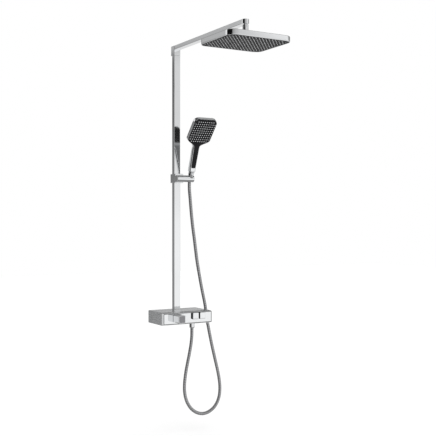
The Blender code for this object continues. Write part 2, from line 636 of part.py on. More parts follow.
def slider():
    """Block around the riser, its plastic liner, and a brake pad pressed on the riser."""
    block = box("slider_body", (-SLIDER_HALF, SLIDER_FRONT, SLIDER_BOTTOM),
                (SLIDER_HALF, SLIDER_BACK, SLIDER_TOP), "chrome", 0.0012, (0, RISER_Y, BAR_Z))
    liner_wall = 0.0014
    hole_half = RISER_WIDTH / 2 + 2 * GAP + liner_wall
    hole_half_depth = RISER_DEPTH / 2 + 2 * GAP + liner_wall
    hole = box("slider_hole", (-hole_half, RISER_Y - hole_half_depth, SLIDER_BOTTOM - 0.01),
               (hole_half, RISER_Y + hole_half_depth, SLIDER_TOP + 0.01), "chrome")
    cut(block, hole)
    pad_front = RISER_Y - hole_half_depth
    pad_pocket = box("pad_pocket", (-0.0083, pad_front - 0.0053, BAR_Z - 0.0083),
                     (0.0083, pad_front + 0.0010, BAR_Z + 0.0083), "chrome")
    cut(block, pad_pocket)
    stem_pocket = box("stem_pocket", (-0.0048, SLIDER_FRONT - 0.005, BAR_Z - 0.0048),
                      (0.0048, SLIDER_FRONT + 0.0068, BAR_Z + 0.0048), "chrome")
    cut(block, stem_pocket)
    outer = rounded_rectangle(2 * (hole_half - GAP), 2 * (hole_half_depth - GAP), 0.0010, 2)
    inner = rounded_rectangle(RISER_WIDTH + 2 * GAP, RISER_DEPTH + 2 * GAP, 0.0012, 2)
    low = SLIDER_BOTTOM + 0.0010
    high = SLIDER_TOP - 0.0010
    loft("slider_liner", [place_z(outer, low, 0, RISER_Y), place_z(outer, high, 0, RISER_Y),
                          place_z(inner, high, 0, RISER_Y), place_z(inner, low, 0, RISER_Y)],
         "plastic", True, (0, RISER_Y, BAR_Z))
    box("brake_pad", (-0.0080, pad_front - 0.0050, BAR_Z - 0.0080),
        (0.0080, pad_front - GAP, BAR_Z + 0.0080), "rubber", 0, (0, RISER_Y, BAR_Z))


def pivot_link():
    """Disc inside the holder bar, on a stem fixed in the slider: the bar turns around it."""
    disc = turned("pivot_link", [(BAR_BORE - GAP, -0.0045), (BAR_BORE - GAP, 0.0045)], "steel",
                  (0, BAR_Y, BAR_Z), (1, 0, 0), 32)
    stem = box("pivot_stem", (-0.0045, BAR_Y, BAR_Z - 0.0045),
               (0.0045, SLIDER_FRONT + 0.0065, BAR_Z + 0.0045), "steel")
    cut(disc, stem, "UNION")


def holder_bar():
    """Round bar across the riser: hollow and slotted on the left, a socket on the right."""
    edge = 0.0010
    start = BAR_LEFT + BAR_CAP + GAP
    bar = turned("holder_bar",
                 [(BAR_RADIUS, start), (BAR_RADIUS, BAR_RIGHT - edge),
                  (BAR_RADIUS - edge, BAR_RIGHT), ], "chrome",
                 (0, BAR_Y, BAR_Z), (1, 0, 0), 40, pivot=(0, BAR_Y, BAR_Z))
    bore = turned("bar_bore", [(BAR_BORE, start - 0.005), (BAR_BORE, 0.0210)], "chrome",
                  (0, BAR_Y, BAR_Z), (1, 0, 0), 32)
    cut(bar, bore)
    slot_half_angle = math.radians(62)
    reach = 0.030
    slot = [(0.0, 0.0)]
    steps = 6
    for step in range(steps + 1):
        angle = -slot_half_angle + 2 * slot_half_angle * step / steps
        slot.append((reach * math.cos(angle), reach * math.sin(angle)))
    cut(bar, loft("bar_slot", [place_x(slot, -0.0052, BAR_Y, BAR_Z),
                               place_x(slot, 0.0052, BAR_Y, BAR_Z)], "chrome"))
    socket = turned("bar_socket", [(0.0122, -0.025), (0.0122, 0.025)], "chrome",
                    BAR_CENTRE, HANDLE_AXIS, 32)
    cut(bar, socket)
    turned("holder_bar_cap", [(BAR_RADIUS - edge, 0), (BAR_RADIUS, edge), (BAR_RADIUS, BAR_CAP)],
           "chrome", (BAR_LEFT, BAR_Y, BAR_Z), (1, 0, 0), 40)
    turned("socket_insert",
           [(0.0119, -0.0085), (0.0119, 0.0085), (0.0110, 0.0085), (0.0108, -0.0085)], "black",
           BAR_CENTRE, HANDLE_AXIS, 32, True)


def cone_nut():
    """Hollow cone on the hose's upper end, which sits in the holder's socket."""
    turned("hose_cone_nut",
           [(0.0098, -0.0075), (0.0104, 0.0142), (0.0112, 0.0172), (0.0116, 0.0252),
            (0.0110, COLLAR_START - GAP), (0.0070, COLLAR_START - GAP), (0.0070, 0.0160),
            (0.0088, 0.0120), (0.0088, -0.0075)], "chrome", BAR_CENTRE, HANDLE_AXIS, 32, True)
    turned("hose_ferrule", [(0.0080, 0.0042), (0.0080, 0.0110), (0.0064, 0.0125), (0.0064, 0.0260),
                            (0.0045, 0.0260), (0.0045, 0.0042)], "steel",
           BAR_CENTRE, HANDLE_AXIS, 24, True)


# ---------------------------------------------------------------- handset

def handset_angle(distance):
    """The handset's lean at a station: the handle's, then turning to the head's."""
    turn = (distance - NECK_START) / 0.030
    turn = max(0.0, min(1.0, turn))
    smooth = turn * turn * (3 - 2 * turn)
    return HANDLE_TILT + (HEAD_TILT - HANDLE_TILT) * smooth


def handset_centre(distance):
    """Point on the handset's middle line, found by adding up short steps along it."""
    steps = max(1, round(distance / 0.002))
    step = distance / steps
    y, z = BAR_Y, BAR_Z
    for i in range(steps):
        angle = handset_angle((i + 0.5) * step)
        y -= step * math.sin(angle)
        z += step * math.cos(angle)
    return Vector((SOCKET_X, y, z))


def blend(a, b, t):
    t = max(0.0, min(1.0, t))
    smooth = t * t * (3 - 2 * t)
    return a + (b - a) * smooth


def handset_width(distance):
    """Width along X: a slim handle that flares into the square head with a rounded top."""
    handle = blend(0.0275, 0.0300, (distance - HANDLE_START) / (NECK_START - HANDLE_START))
    width = blend(handle, HANDSET_WIDTH, (distance - NECK_START) / 0.0380)
    corner = 0.020
    into_end = distance - (HANDSET_END - corner)
    if into_end > 0:
        width -= 2 * corner * (1 - math.sqrt(max(0.0, 1 - (into_end / corner) ** 2)))
    return width


def handset_thickness(distance):
    thick = blend(0.0235, 0.0190, (distance - HANDLE_START) / (NECK_START - HANDLE_START))
    thick = blend(thick, 0.0215, (distance - NECK_START) / 0.0350)
    into_end = max(0.0, (distance - (HANDSET_END - 0.012)) / 0.012)
    return thick - 0.006 * into_end ** 2


HANDSET_STATIONS = [0.0323, 0.0490, 0.0494, 0.0600, 0.0900, 0.1200, 0.1330, 0.1400, 0.1460, 0.1520,
                    0.1580, 0.1640, 0.1710, 0.1790, 0.2020, 0.2250, 0.2450, 0.2580, 0.2640, 0.2690,
                    0.2730, 0.2755, 0.2770]


def section(distance, width, back, front, radius, steps=4):
    """Rounded rectangle across the handset, from back to front of its middle line."""
    centre = handset_centre(distance)
    angle = handset_angle(distance)
    out = Vector((0, -math.cos(angle), -math.sin(angle)))
    middle = (front + back) / 2
    points = []
    for side, depth in rounded_rectangle(width, front - back, radius, steps):
        points.append(centre + Vector((side, 0, 0)) + out * (middle + depth))
    return points


def handset():
    """Chrome back shell with a black front cover, a nozzle mat between them, and a collar."""
    pivot = along_handle(COLLAR_START)
    shell_loops = []
    cover_loops = []
    for distance in HANDSET_STATIONS:
        width = handset_width(distance)
        thick = handset_thickness(distance)
        front = thick / 2
        if distance > COVER_START - 0.0008:
            front -= COVER_THICKNESS
        back_radius = min(width, front + thick / 2) * 0.42
        shell_loops.append(section(distance, width, -thick / 2, front, back_radius))
    for distance in [COVER_START, *HANDSET_STATIONS[3:-1]]:
        width = handset_width(distance) - 0.0040
        front = handset_thickness(distance) / 2
        cover_loops.append(section(distance, width, front - COVER_THICKNESS + GAP, front, 0.0009))
    shell = loft("handset_shell", shell_loops, "chrome", pivot=pivot)
    loft("handset_front_cover", cover_loops, "black", pivot=pivot)
    mat_width = HANDSET_WIDTH - 0.016
    pocket_width = mat_width + 2 * GAP
    ends = (HANDSET_HEAD_MID - 0.034, HANDSET_HEAD_MID + 0.036)

    def slab(name, wide, extra, back, front, kind):
        outline = []
        for distance in (ends[0] - extra, ends[1] + extra):
            outline.append(section(distance, wide, back, front, 0.0004, 1))
        return loft(name, outline, kind, pivot=pivot)

    cover_back = 0.0215 / 2 - COVER_THICKNESS
    cut(shell, slab("mat_pocket", pocket_width, GAP, cover_back - 0.0026, cover_back + 0.004, "chrome"))
    slab("handset_nozzle_mat", mat_width, 0.0, cover_back - 0.0022, cover_back - GAP / 3, "silicone")
    turned("handset_collar",
           [(0.0112, COLLAR_START), (0.0122, COLLAR_START + 0.0010), (0.0122, HANDLE_START)],
           "chrome", BAR_CENTRE, HANDLE_AXIS, 32, pivot=pivot)


# ---------------------------------------------------------------- hose

def smooth_route(route, spacing):
    """Points at even spacing along a centripetal curve through the route's points."""
    knots = [Vector(point) for point in route]
    first = knots[0] * 2 - knots[1]
    last = knots[-1] * 2 - knots[-2]
    padded = [first, *knots, last]
    dense = []
    fine = 20
    for i in range(len(knots) - 1):
        p0, p1, p2, p3 = padded[i:i + 4]
        for step in range(fine):
            t = step / fine
            dense.append(0.5 * (2 * p1 + (p2 - p0) * t + (2 * p0 - 5 * p1 + 4 * p2 - p3) * t ** 2
                                + (3 * p1 - p0 - 3 * p2 + p3) * t ** 3))
    dense.append(knots[-1])
    length = sum((b - a).length for a, b in zip(dense, dense[1:]))
    count = round(length / spacing)
    step = length / count
    points = [dense[0]]
    travelled = 0.0
    for a, b in zip(dense, dense[1:]):
        piece = (b - a).length
        while travelled + piece >= step * len(points) and len(points) < count:
            along = (step * len(points) - travelled) / piece
            points.append(a.lerp(b, along))
        travelled += piece
    points.append(dense[-1])
    return points


def hose():
    data = bpy.data.curves.new("shower_hose", "CURVE")
    data.dimensions = "3D"
    data.bevel_depth = HOSE_RADIUS
    data.bevel_resolution = 2
    data.use_fill_caps = True
    points = smooth_route(HOSE_ROUTE, HOSE_SPACING)
    spline = data.splines.new("POLY")
    spline.points.add(len(points) - 1)
    for control, point in zip(spline.points, points):
        control.co = (*point, 1.0)
    data.materials.append(material("hose"))
    bpy.context.collection.objects.link(bpy.data.objects.new("shower_hose", data))


def build():
    clear_scene()
    mount_plate()
    plate_screws()
    inlets()
    mixer_body()
    cartridges()
    housing()
    front_panel()
    knob()
    push_buttons()
    hose_outlet()
    riser_connector()
    riser()
    elbow()
    wall_bracket()
    arm()
    ball_stud()
    ball_joint()
    rain_head()
    slider()
    pivot_link()
    holder_bar()
    cone_nut()
    handset()
    hose()


build()
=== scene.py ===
"""Detailed visual model of a wall-mounted rainfall shower column, in metres, +Z up.

The wall is the plane Y = 0 and the room is on the -Y side.
"""
import math

import bmesh
import bpy
from mathutils import Matrix, Vector


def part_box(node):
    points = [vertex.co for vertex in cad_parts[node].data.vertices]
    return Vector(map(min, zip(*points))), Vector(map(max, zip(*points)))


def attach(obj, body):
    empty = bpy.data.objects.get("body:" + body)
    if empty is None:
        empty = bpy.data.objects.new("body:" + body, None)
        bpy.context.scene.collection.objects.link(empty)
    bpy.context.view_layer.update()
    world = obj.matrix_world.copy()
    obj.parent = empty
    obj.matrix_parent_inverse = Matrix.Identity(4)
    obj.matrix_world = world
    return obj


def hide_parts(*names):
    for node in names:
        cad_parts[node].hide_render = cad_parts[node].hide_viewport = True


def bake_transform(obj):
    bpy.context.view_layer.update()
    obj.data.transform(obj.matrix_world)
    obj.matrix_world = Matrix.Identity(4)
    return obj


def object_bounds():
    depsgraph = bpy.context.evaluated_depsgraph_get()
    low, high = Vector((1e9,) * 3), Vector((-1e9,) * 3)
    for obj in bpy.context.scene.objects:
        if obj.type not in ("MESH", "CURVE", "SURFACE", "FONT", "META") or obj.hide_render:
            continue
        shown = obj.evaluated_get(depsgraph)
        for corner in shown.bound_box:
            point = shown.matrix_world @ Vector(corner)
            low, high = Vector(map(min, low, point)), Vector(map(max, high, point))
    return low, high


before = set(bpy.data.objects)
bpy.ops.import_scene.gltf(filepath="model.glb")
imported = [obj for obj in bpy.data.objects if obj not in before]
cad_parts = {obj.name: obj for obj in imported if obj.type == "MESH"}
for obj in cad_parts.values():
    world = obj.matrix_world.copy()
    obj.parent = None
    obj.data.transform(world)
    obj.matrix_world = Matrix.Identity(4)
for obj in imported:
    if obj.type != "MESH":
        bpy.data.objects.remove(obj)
CAD_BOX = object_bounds()

GAP = 0.0003                    # clearance between touching pieces
SMALLEST_CORNER = 0.0003        # radius left where an inset uses a corner up
SHARP_ANGLE = 35                # degrees; edges that turn by more stay crisp
THROUGH = 0.005                 # how far a hole's shape runs past the faces it opens
COLUMN_CORNER = 0.0018          # rounding of the square profiles' long edges
PROFILE_RIM = 0.0002            # easing of the profiles' cut ends


# ---- sizes from the frame

class Extent:
    """Lowest and highest corner of a CAD node, with its middle and size."""

    def __init__(self, node):
        self.low, self.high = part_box(node)
        self.mid = (self.low + self.high) / 2
        self.size = self.high - self.low


HOUSING = Extent("mixer_housing")
PANEL = Extent("front_panel")
KNOB = Extent("temperature_knob")
KNOB_FACE = Extent("knob_front_plate")
STOP = Extent("knob_stop_button")
RISER = Extent("riser_tube")
ARM = Extent("arm_tube")
ARM_TIP = Extent("arm_end")
HEAD = Extent("rain_head_shell")
NUT = Extent("swivel_nut")
SLIDER = Extent("slider_body")
BAR = Extent("holder_bar")
BAR_CAP = Extent("holder_bar_cap")
LOWER_NUT = Extent("hose_lower_nut")
BUTTONS = {"rain": Extent("rain_button"), "hand": Extent("hand_button")}
KNOB_X = KNOB.mid.x
KNOB_Z = KNOB_FACE.mid.z

# Holder and handset, measured from the holder bar's axis along the handle
BAR_AXIS = Vector((0, BAR.mid.y, BAR.mid.z))
SOCKET_X = 0.043
HANDLE_TILT = math.radians(21)
HEAD_TILT = math.radians(42)
COLLAR_START = 0.0270
HANDLE_START = 0.0320
COVER_START = 0.0500
NECK_START = 0.1400
HANDSET_HEAD_MID = 0.2170
HANDSET_END = 0.2780
HANDSET_WIDTH = 0.104
TOP_CORNER = 0.020
COVER_THICKNESS = 0.0025
HANDLE_AXIS = Vector((0, -math.sin(HANDLE_TILT), math.cos(HANDLE_TILT)))
SOCKET_CENTRE = Vector((SOCKET_X, BAR_AXIS.y, BAR_AXIS.z))

# Hose: outer radius, clearance that keeps its skin inside that radius, and middle line from
# the holder down to the mixer
HOSE_RADIUS = 0.007
HOSE_CLEARANCE = 0.0001
HOSE_ROUTE = [
    (0.0430, -0.0607, 0.5668), (0.0430, -0.0565, 0.5560), (0.0436, -0.0538, 0.5420),
    (0.0448, -0.0530, 0.5200), (0.0477, -0.0545, 0.4810), (0.0518, -0.0570, 0.4220),
    (0.0572, -0.0590, 0.3680), (0.0640, -0.0612, 0.3140), (0.0735, -0.0640, 0.2340),
    (0.0840, -0.0660, 0.1710), (0.0955, -0.0685, 0.1080), (0.1095, -0.0710, 0.0400),
    (0.1180, -0.0720, -0.0200), (0.1270, -0.0720, -0.0640), (0.1400, -0.0720, -0.1220),
    (0.1550, -0.0720, -0.1820), (0.1685, -0.0720, -0.2340), (0.1780, -0.0720, -0.2800),
    (0.1810, -0.0720, -0.3180), (0.1775, -0.0720, -0.3490), (0.1680, -0.0720, -0.3730),
    (0.1530, -0.0720, -0.3930), (0.1340, -0.0720, -0.4060), (0.1140, -0.0720, -0.4130),
    (0.0920, -0.0720, -0.4135), (0.0665, -0.0720, -0.4050), (0.0430, -0.0720, -0.3870),
    (0.0260, -0.0720, -0.3630), (0.0155, -0.0720, -0.3360), (0.0110, -0.0720, -0.3050),
    (0.0120, -0.0720, -0.2720), (0.0175, -0.0720, -0.2330), (0.0255, -0.0720, -0.1950),
    (0.0335, -0.0720, -0.1600), (0.0405, -0.0720, -0.1250), (0.0450, -0.0720, -0.0900),
    (0.0460, -0.0720, -0.0513),
]


# ---- camera

def make_camera():
    """Level camera in front of the column and to its left, at about slider height."""
    data = bpy.data.cameras.new("camera")
    data.lens = 67.99
    data.sensor_width = 36
    camera = bpy.data.objects.new("camera", data)
    camera.location = (-1.5942, -3.0821, 0.4057)
    camera.rotation_euler = (math.pi / 2, 0, -math.radians(30.401))
    bpy.context.collection.objects.link(camera)
    bpy.context.scene.camera = camera


# ---- materials

def add_node(tree, kind, inputs=(), **settings):
    """New node; each of its inputs takes a plain value or another node's output."""
    node = tree.nodes.new("ShaderNode" + kind)
    for setting, value in settings.items():
        setattr(node, setting, value)
    for socket, value in dict(inputs).items():
        if isinstance(value, bpy.types.NodeSocket):
            tree.links.new(value, node.inputs[socket])
        else:
            node.inputs[socket].default_value = value
    return node


def map_range(tree, value, low, high, to_low=0.0, to_high=1.0):
    """The value moved from one range to another and held inside it."""
    inputs = {"Value": value, "From Min": low, "From Max": high, "To Min": to_low, "To Max": to_high}
    return add_node(tree, "MapRange", inputs).outputs["Result"]


def mix_colours(tree, factor, first, second):
    inputs = {"Factor": factor, "A": first, "B": second}
    return add_node(tree, "Mix", inputs, data_type="RGBA").outputs["Result"]


class Surface:
    """A material whose roughness, colour and fine relief can follow noise values."""

    def __init__(self, name, colour, metallic, **sockets):
        self.material = bpy.data.materials.new(name)
        self.material.use_nodes = True
        self.tree = self.material.node_tree
        self.inputs = self.tree.nodes["Principled BSDF"].inputs
        self.inputs["Base Color"].default_value = (*colour, 1)
        self.inputs["Metallic"].default_value = metallic
        for socket, value in sockets.items():
            self.inputs[socket.replace("_", " ")].default_value = value

    def noise(self, scale, detail, stretch=(1, 1, 1)):
        """Noise on the piece's own coordinates; stretch above 1 makes it finer along that axis."""
        place = add_node(self.tree, "TexCoord").outputs["Object"]
        mapping = add_node(self.tree, "Mapping", {"Vector": place, "Scale": stretch})
        inputs = {"Vector": mapping.outputs["Vector"], "Scale": scale, "Detail": detail}
        return add_node(self.tree, "TexNoise", inputs).outputs["Fac"]

    def spread(self, value, low, high):
        """Map the middle of a noise value to a range."""
        return map_range(self.tree, value, 0.3, 0.7, low, high)

    def blend_colours(self, factor, dark, light):
        """Base colour between two colours, by a factor from 0 to 1."""
        colour = mix_colours(self.tree, factor, (*dark, 1), (*light, 1))
        self.tree.links.new(colour, self.inputs["Base Color"])

    def vary_colour(self, value, dark, light):
        self.blend_colours(self.spread(value, 0.0, 1.0), dark, light)

    def vary_roughness(self, value, low, high):
        self.tree.links.new(self.spread(value, low, high), self.inputs["Roughness"])

    def bump(self, value, strength, distance):
        inputs = {"Height": value, "Strength": strength, "Distance": distance}
        normal = add_node(self.tree, "Bump", inputs).outputs["Normal"]
        self.tree.links.new(normal, self.inputs["Normal"])


def chrome_material(name="polished_chrome", colour=(0.82, 0.83, 0.84), low=0.035, high=0.085):
    """Polished plating: faint water haze, small marks and slightly waved reflections."""
    surface = Surface(name, colour, 1.0)
    surface.vary_roughness(surface.noise(26, 5), low, high)
    surface.vary_colour(surface.noise(9, 3), [0.97 * c for c in colour], colour)
    surface.bump(surface.noise(60, 2), 0.02, 0.0005)
    return surface.material


def brushed_material():
    """Housing plating with long fine lines along the body and across its ends."""
    surface = Surface("brushed_chrome", (0.66, 0.67, 0.68), 1.0)
    lines = surface.noise(1.0, 6, (4, 60, 1300))
    surface.vary_roughness(lines, 0.16, 0.34)
    surface.vary_colour(lines, (0.56, 0.57, 0.58), (0.78, 0.79, 0.80))
    surface.bump(lines, 0.10, 0.0003)
    return surface.material


def black_material():
    """Moulded black plastic: satin, with a fine grain and faint lime film."""
    colour = (0.010, 0.010, 0.011)
    surface = Surface("black_face", colour, 0.0, Specular_IOR_Level=0.06)
    film = surface.noise(34, 6)
    surface.vary_roughness(film, 0.42, 0.56)
    surface.vary_colour(film, colour, [1.7 * c + 0.002 for c in colour])
    surface.bump(surface.noise(1600, 2), 0.12, 0.0001)
    return surface.material


def silicone_material():
    """Soft light grey silicone with a faint, uneven lime film."""
    surface = Surface("silicone", (0.73, 0.74, 0.75), 0.0, Specular_IOR_Level=0.35)
    film = surface.noise(420, 3)
    surface.vary_roughness(film, 0.45, 0.65)
    surface.vary_colour(film, (0.66, 0.67, 0.68), (0.80, 0.81, 0.82))
    return surface.material


def plain_plastic_material():
    """Unpainted white plastic with a fine grain, for the inner parts."""
    surface = Surface("white_plastic", (0.72, 0.72, 0.70), 0.0)
    grain = surface.noise(180, 4)
    surface.vary_roughness(grain, 0.38, 0.52)
    surface.vary_colour(grain, (0.68, 0.68, 0.66), (0.75, 0.75, 0.73))
    surface.bump(grain, 0.05, 0.0002)
    return surface.material


def rubber_material():
    """Dull black rubber with a fine grain."""
    surface = Surface("rubber", (0.03, 0.03, 0.03), 0.0)
    grain = surface.noise(500, 4)
    surface.vary_roughness(grain, 0.65, 0.85)
    surface.vary_colour(grain, (0.022, 0.022, 0.022), (0.045, 0.045, 0.044))
    surface.bump(grain, 0.15, 0.0002)
    return surface.material


def turned_metal_material(name, dark, light):
    """Machined metal with fine tool marks and a little tarnish."""
    surface = Surface(name, light, 1.0)
    marks = surface.noise(140, 5)
    surface.vary_roughness(marks, 0.22, 0.40)
    surface.vary_colour(surface.noise(22, 4), dark, light)
    surface.bump(marks, 0.06, 0.0002)
    return surface.material


def hose_material():
    """Grey spiral strip under a clear skin; the band follows the turns in the UV map."""
    surface = Surface("hose_skin", (0.25, 0.25, 0.26), 0.72, Coat_Weight=1.0, Coat_Roughness=0.06)
    tree = surface.tree
    uv = add_node(tree, "UVMap", uv_map="turns").outputs["UV"]
    split = add_node(tree, "SeparateXYZ", {"Vector": uv}).outputs
    total = add_node(tree, "Math", {0: split["X"], 1: split["Y"]}).outputs[0]
    angle = add_node(tree, "Math", {0: total, 1: math.tau}, operation="MULTIPLY").outputs[0]
    wave = add_node(tree, "Math", {0: angle}, operation="SINE").outputs[0]
    band = map_range(tree, wave, -0.75, 0.75)
    surface.blend_colours(band, (0.23, 0.23, 0.235), (0.33, 0.33, 0.34))
    scuff = surface.noise(120, 4)
    surface.vary_roughness(scuff, 0.22, 0.36)
    surface.bump(scuff, 0.03, 0.0003)
    return surface.material


def floor_material():
    """Pale matt floor."""
    surface = Surface("pale_floor", (0.90, 0.90, 0.90), 0.0, Specular_IOR_Level=0.0)
    surface.vary_roughness(surface.noise(30, 4), 0.7, 0.8)
    return surface.material


MATERIALS = {
    "chrome": chrome_material(),
    "brushed_chrome": brushed_material(),
    "plated_plastic": chrome_material("plated_plastic", (0.80, 0.81, 0.82), 0.05, 0.11),
    "black_plastic": black_material(),
    "white_plastic": plain_plastic_material(),
    "steel": turned_metal_material("steel", (0.50, 0.51, 0.52), (0.66, 0.67, 0.68)),
    "brass": turned_metal_material("brass", (0.42, 0.28, 0.11), (0.74, 0.56, 0.28)),
    "rubber": rubber_material(),
    "silicone": silicone_material(),
    "hose": hose_material(),
}


# ---- mesh helpers

def rounded_outline(width, height, radius, steps=6):
    """Rounded rectangle, anticlockwise from the right side, centred on zero."""
    points = []
    for quarter, (sx, sy) in enumerate(((1, 1), (-1, 1), (-1, -1), (1, -1))):
        cx = sx * (width / 2 - radius)
        cy = sy * (height / 2 - radius)
        for step in range(steps + 1):
            angle = math.pi / 2 * (quarter + step / steps)
            points.append((cx + radius * math.cos(angle), cy + radius * math.sin(angle)))
    return points


def circle(radius, count):
    """Regular polygon that stands for a circle, centred on zero."""
    return [(radius * math.cos(math.tau * i / count), radius * math.sin(math.tau * i / count))
            for i in range(count)]


def on_axis(outline, axis, position, centre):
    """Put a flat outline at a position along an axis; its two directions are the other two."""
    first, second = [i for i in range(3) if i != axis]
    points = []
    for a, b in outline:
        point = Vector(centre)
        point[axis] = position
        point[first] += a
        point[second] += b
        points.append(point)
    return points


def loop_across(extent, axis, position, inset, corner):
    """Rounded loop across an extent at a position along an axis, drawn in by an inset."""
    width, height = [extent.size[i] - 2 * inset for i in range(3) if i != axis]
    return on_axis(rounded_outline(width, height, corner), axis, position, extent.mid)


def add_loops(bm, loops, closed=False):
    """Skin over a row of loops; its ends are filled unless the row closes on itself."""
    rings = [[bm.verts.new(point) for point in loop] for loop in loops]
    pairs = list(zip(rings, rings[1:]))
    if closed:
        pairs.append((rings[-1], rings[0]))
    for lower, upper in pairs:
        count = len(lower)
        for i in range(count):
            j = (i + 1) % count
            bm.faces.new((lower[i], lower[j], upper[j], upper[i]))
    if not closed:
        bm.faces.new(rings[0])
        bm.faces.new(rings[-1])


def mesh_of(name, bm):
    """A mesh with outward faces, made from a bmesh that is then freed."""
    bmesh.ops.recalc_face_normals(bm, faces=bm.faces)
    mesh = bpy.data.meshes.new(name)
    bm.to_mesh(mesh)
    bm.free()
    return mesh


def with_modifier(mesh, kind, **settings):
    """The mesh as it is after one modifier; the old mesh is removed."""
    name = mesh.name
    holder = bpy.data.objects.new("holder", mesh)
    bpy.context.collection.objects.link(holder)
    modifier = holder.modifiers.new("step", kind)
    for setting, value in settings.items():
        setattr(modifier, setting, value)
    graph = bpy.context.evaluated_depsgraph_get()
    changed = bpy.data.meshes.new_from_object(holder.evaluated_get(graph))
    bpy.data.objects.remove(holder)
    bpy.data.meshes.remove(mesh)
    changed.name = name
    return changed


def carve(mesh, holes):
    """The mesh without the holes' volumes; each hole is a closed shape given by its loops."""
    for loops in holes:
        hole_bm = bmesh.new()
        add_loops(hole_bm, loops)
        hole = bpy.data.objects.new("hole", mesh_of("hole", hole_bm))
        bpy.context.collection.objects.link(hole)
        mesh = with_modifier(mesh, "BOOLEAN", operation="DIFFERENCE", solver="EXACT", object=hole)
        hole_mesh = hole.data
        bpy.data.objects.remove(hole)
        bpy.data.meshes.remove(hole_mesh)
    return mesh


def finish_piece(name, bm, body, slot, replaced=(), sharp=SHARP_ANGLE, holes=()):
    """Turn a bmesh into a piece that rides on a body and takes a material slot."""
    mesh = carve(mesh_of(name, bm), holes)
    for polygon in mesh.polygons:
        polygon.use_smooth = True
    mesh.set_sharp_from_angle(angle=math.radians(sharp))
    mesh = with_modifier(mesh, "WEIGHTED_NORMAL", mode="FACE_AREA", weight=60, keep_sharp=True)
    mesh.materials.append(MATERIALS[slot])
    piece = bpy.data.objects.new(name, mesh)
    bpy.context.collection.objects.link(piece)
    if body:
        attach(piece, body)
    if replaced:
        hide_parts(*replaced)
    return piece


def loft(name, loops, body, slot, replaced=(), closed=False, sharp=SHARP_ANGLE, holes=()):
    """A piece skinned over a row of loops."""
    bm = bmesh.new()
    add_loops(bm, loops, closed)
    return finish_piece(name, bm, body, slot, replaced, sharp, holes)


def box_loops(low, high):
    """Bottom and top loop of a plain box between two corners."""
    corners = ((low[0], low[1]), (high[0], low[1]), (high[0], high[1]), (low[0], high[1]))
    return [[Vector((x, y, z)) for x, y in corners] for z in (low[2], high[2])]


def edge_steps(radius, steps=4):
    """(inset, depth) pairs round a quarter turn, from the face's rim to the side."""
    pairs = []
    for step in range(steps + 1):
        angle = math.pi / 2 * step / steps
        pairs.append((radius * (1 - math.sin(angle)), radius * (1 - math.cos(angle))))
    return pairs


def eased_ends(low, high, edge_low, edge_high):
    """(inset, position) pairs from one end to the other, with a rounded rim at both."""
    pairs = [(inset, low + depth) for inset, depth in edge_steps(edge_low)]
    return pairs + [(inset, high - depth) for inset, depth in reversed(edge_steps(edge_high))]


def block_loops(extent, axis, corner, edge_low, edge_high, low=None, high=None, size=None):
    """Loops of a block along an axis, with rounded long edges and rounded end rims."""
    first, second = [i for i in range(3) if i != axis]
    low = extent.low[axis] if low is None else low
    high = extent.high[axis] if high is None else high
    width, height = size or (extent.size[first], extent.size[second])
    loops = []
    for inset, position in eased_ends(low, high, edge_low, edge_high):
        radius = max(corner - inset, SMALLEST_CORNER)
        outline = rounded_outline(width - 2 * inset, height - 2 * inset, radius)
        loops.append(on_axis(outline, axis, position, extent.mid))
    return loops


def turned_loops(profile, base, direction=(0, 0, 1), count=48):
    """Loops of a turned shape from (radius, height) pairs along a direction from its base."""
    turn = Vector((0, 0, 1)).rotation_difference(Vector(direction)).to_matrix().to_4x4()
    place = Matrix.Translation(base) @ turn
    return [[place @ Vector((a, b, height)) for a, b in circle(radius, count)]
            for radius, height in profile]


# ---- hose

def smooth_route(route, spacing):
    """Points at even spacing along a smooth curve through the route's points."""
    knots = [Vector(point) for point in route]
    padded = [knots[0] * 2 - knots[1], *knots, knots[-1] * 2 - knots[-2]]
    dense = []
    fine = 20                   # short steps between two knots
    for i in range(len(knots) - 1):
        p0, p1, p2, p3 = padded[i:i + 4]
        for step in range(fine):
            t = step / fine
            dense.append(0.5 * (2 * p1 + (p2 - p0) * t + (2 * p0 - 5 * p1 + 4 * p2 - p3) * t ** 2
                                + (3 * p1 - p0 - 3 * p2 + p3) * t ** 3))
    dense.append(knots[-1])
    length = sum((b - a).length for a, b in zip(dense, dense[1:]))
    count = round(length / spacing)
    step = length / count
    points = [dense[0]]
    travelled = 0.0
    for a, b in zip(dense, dense[1:]):
        piece = (b - a).length
        while travelled + piece >= step * len(points) and len(points) < count:
            along = (step * len(points) - travelled) / piece
            points.append(a.lerp(b, along))
        travelled += piece
    points.append(dense[-1])
    return points


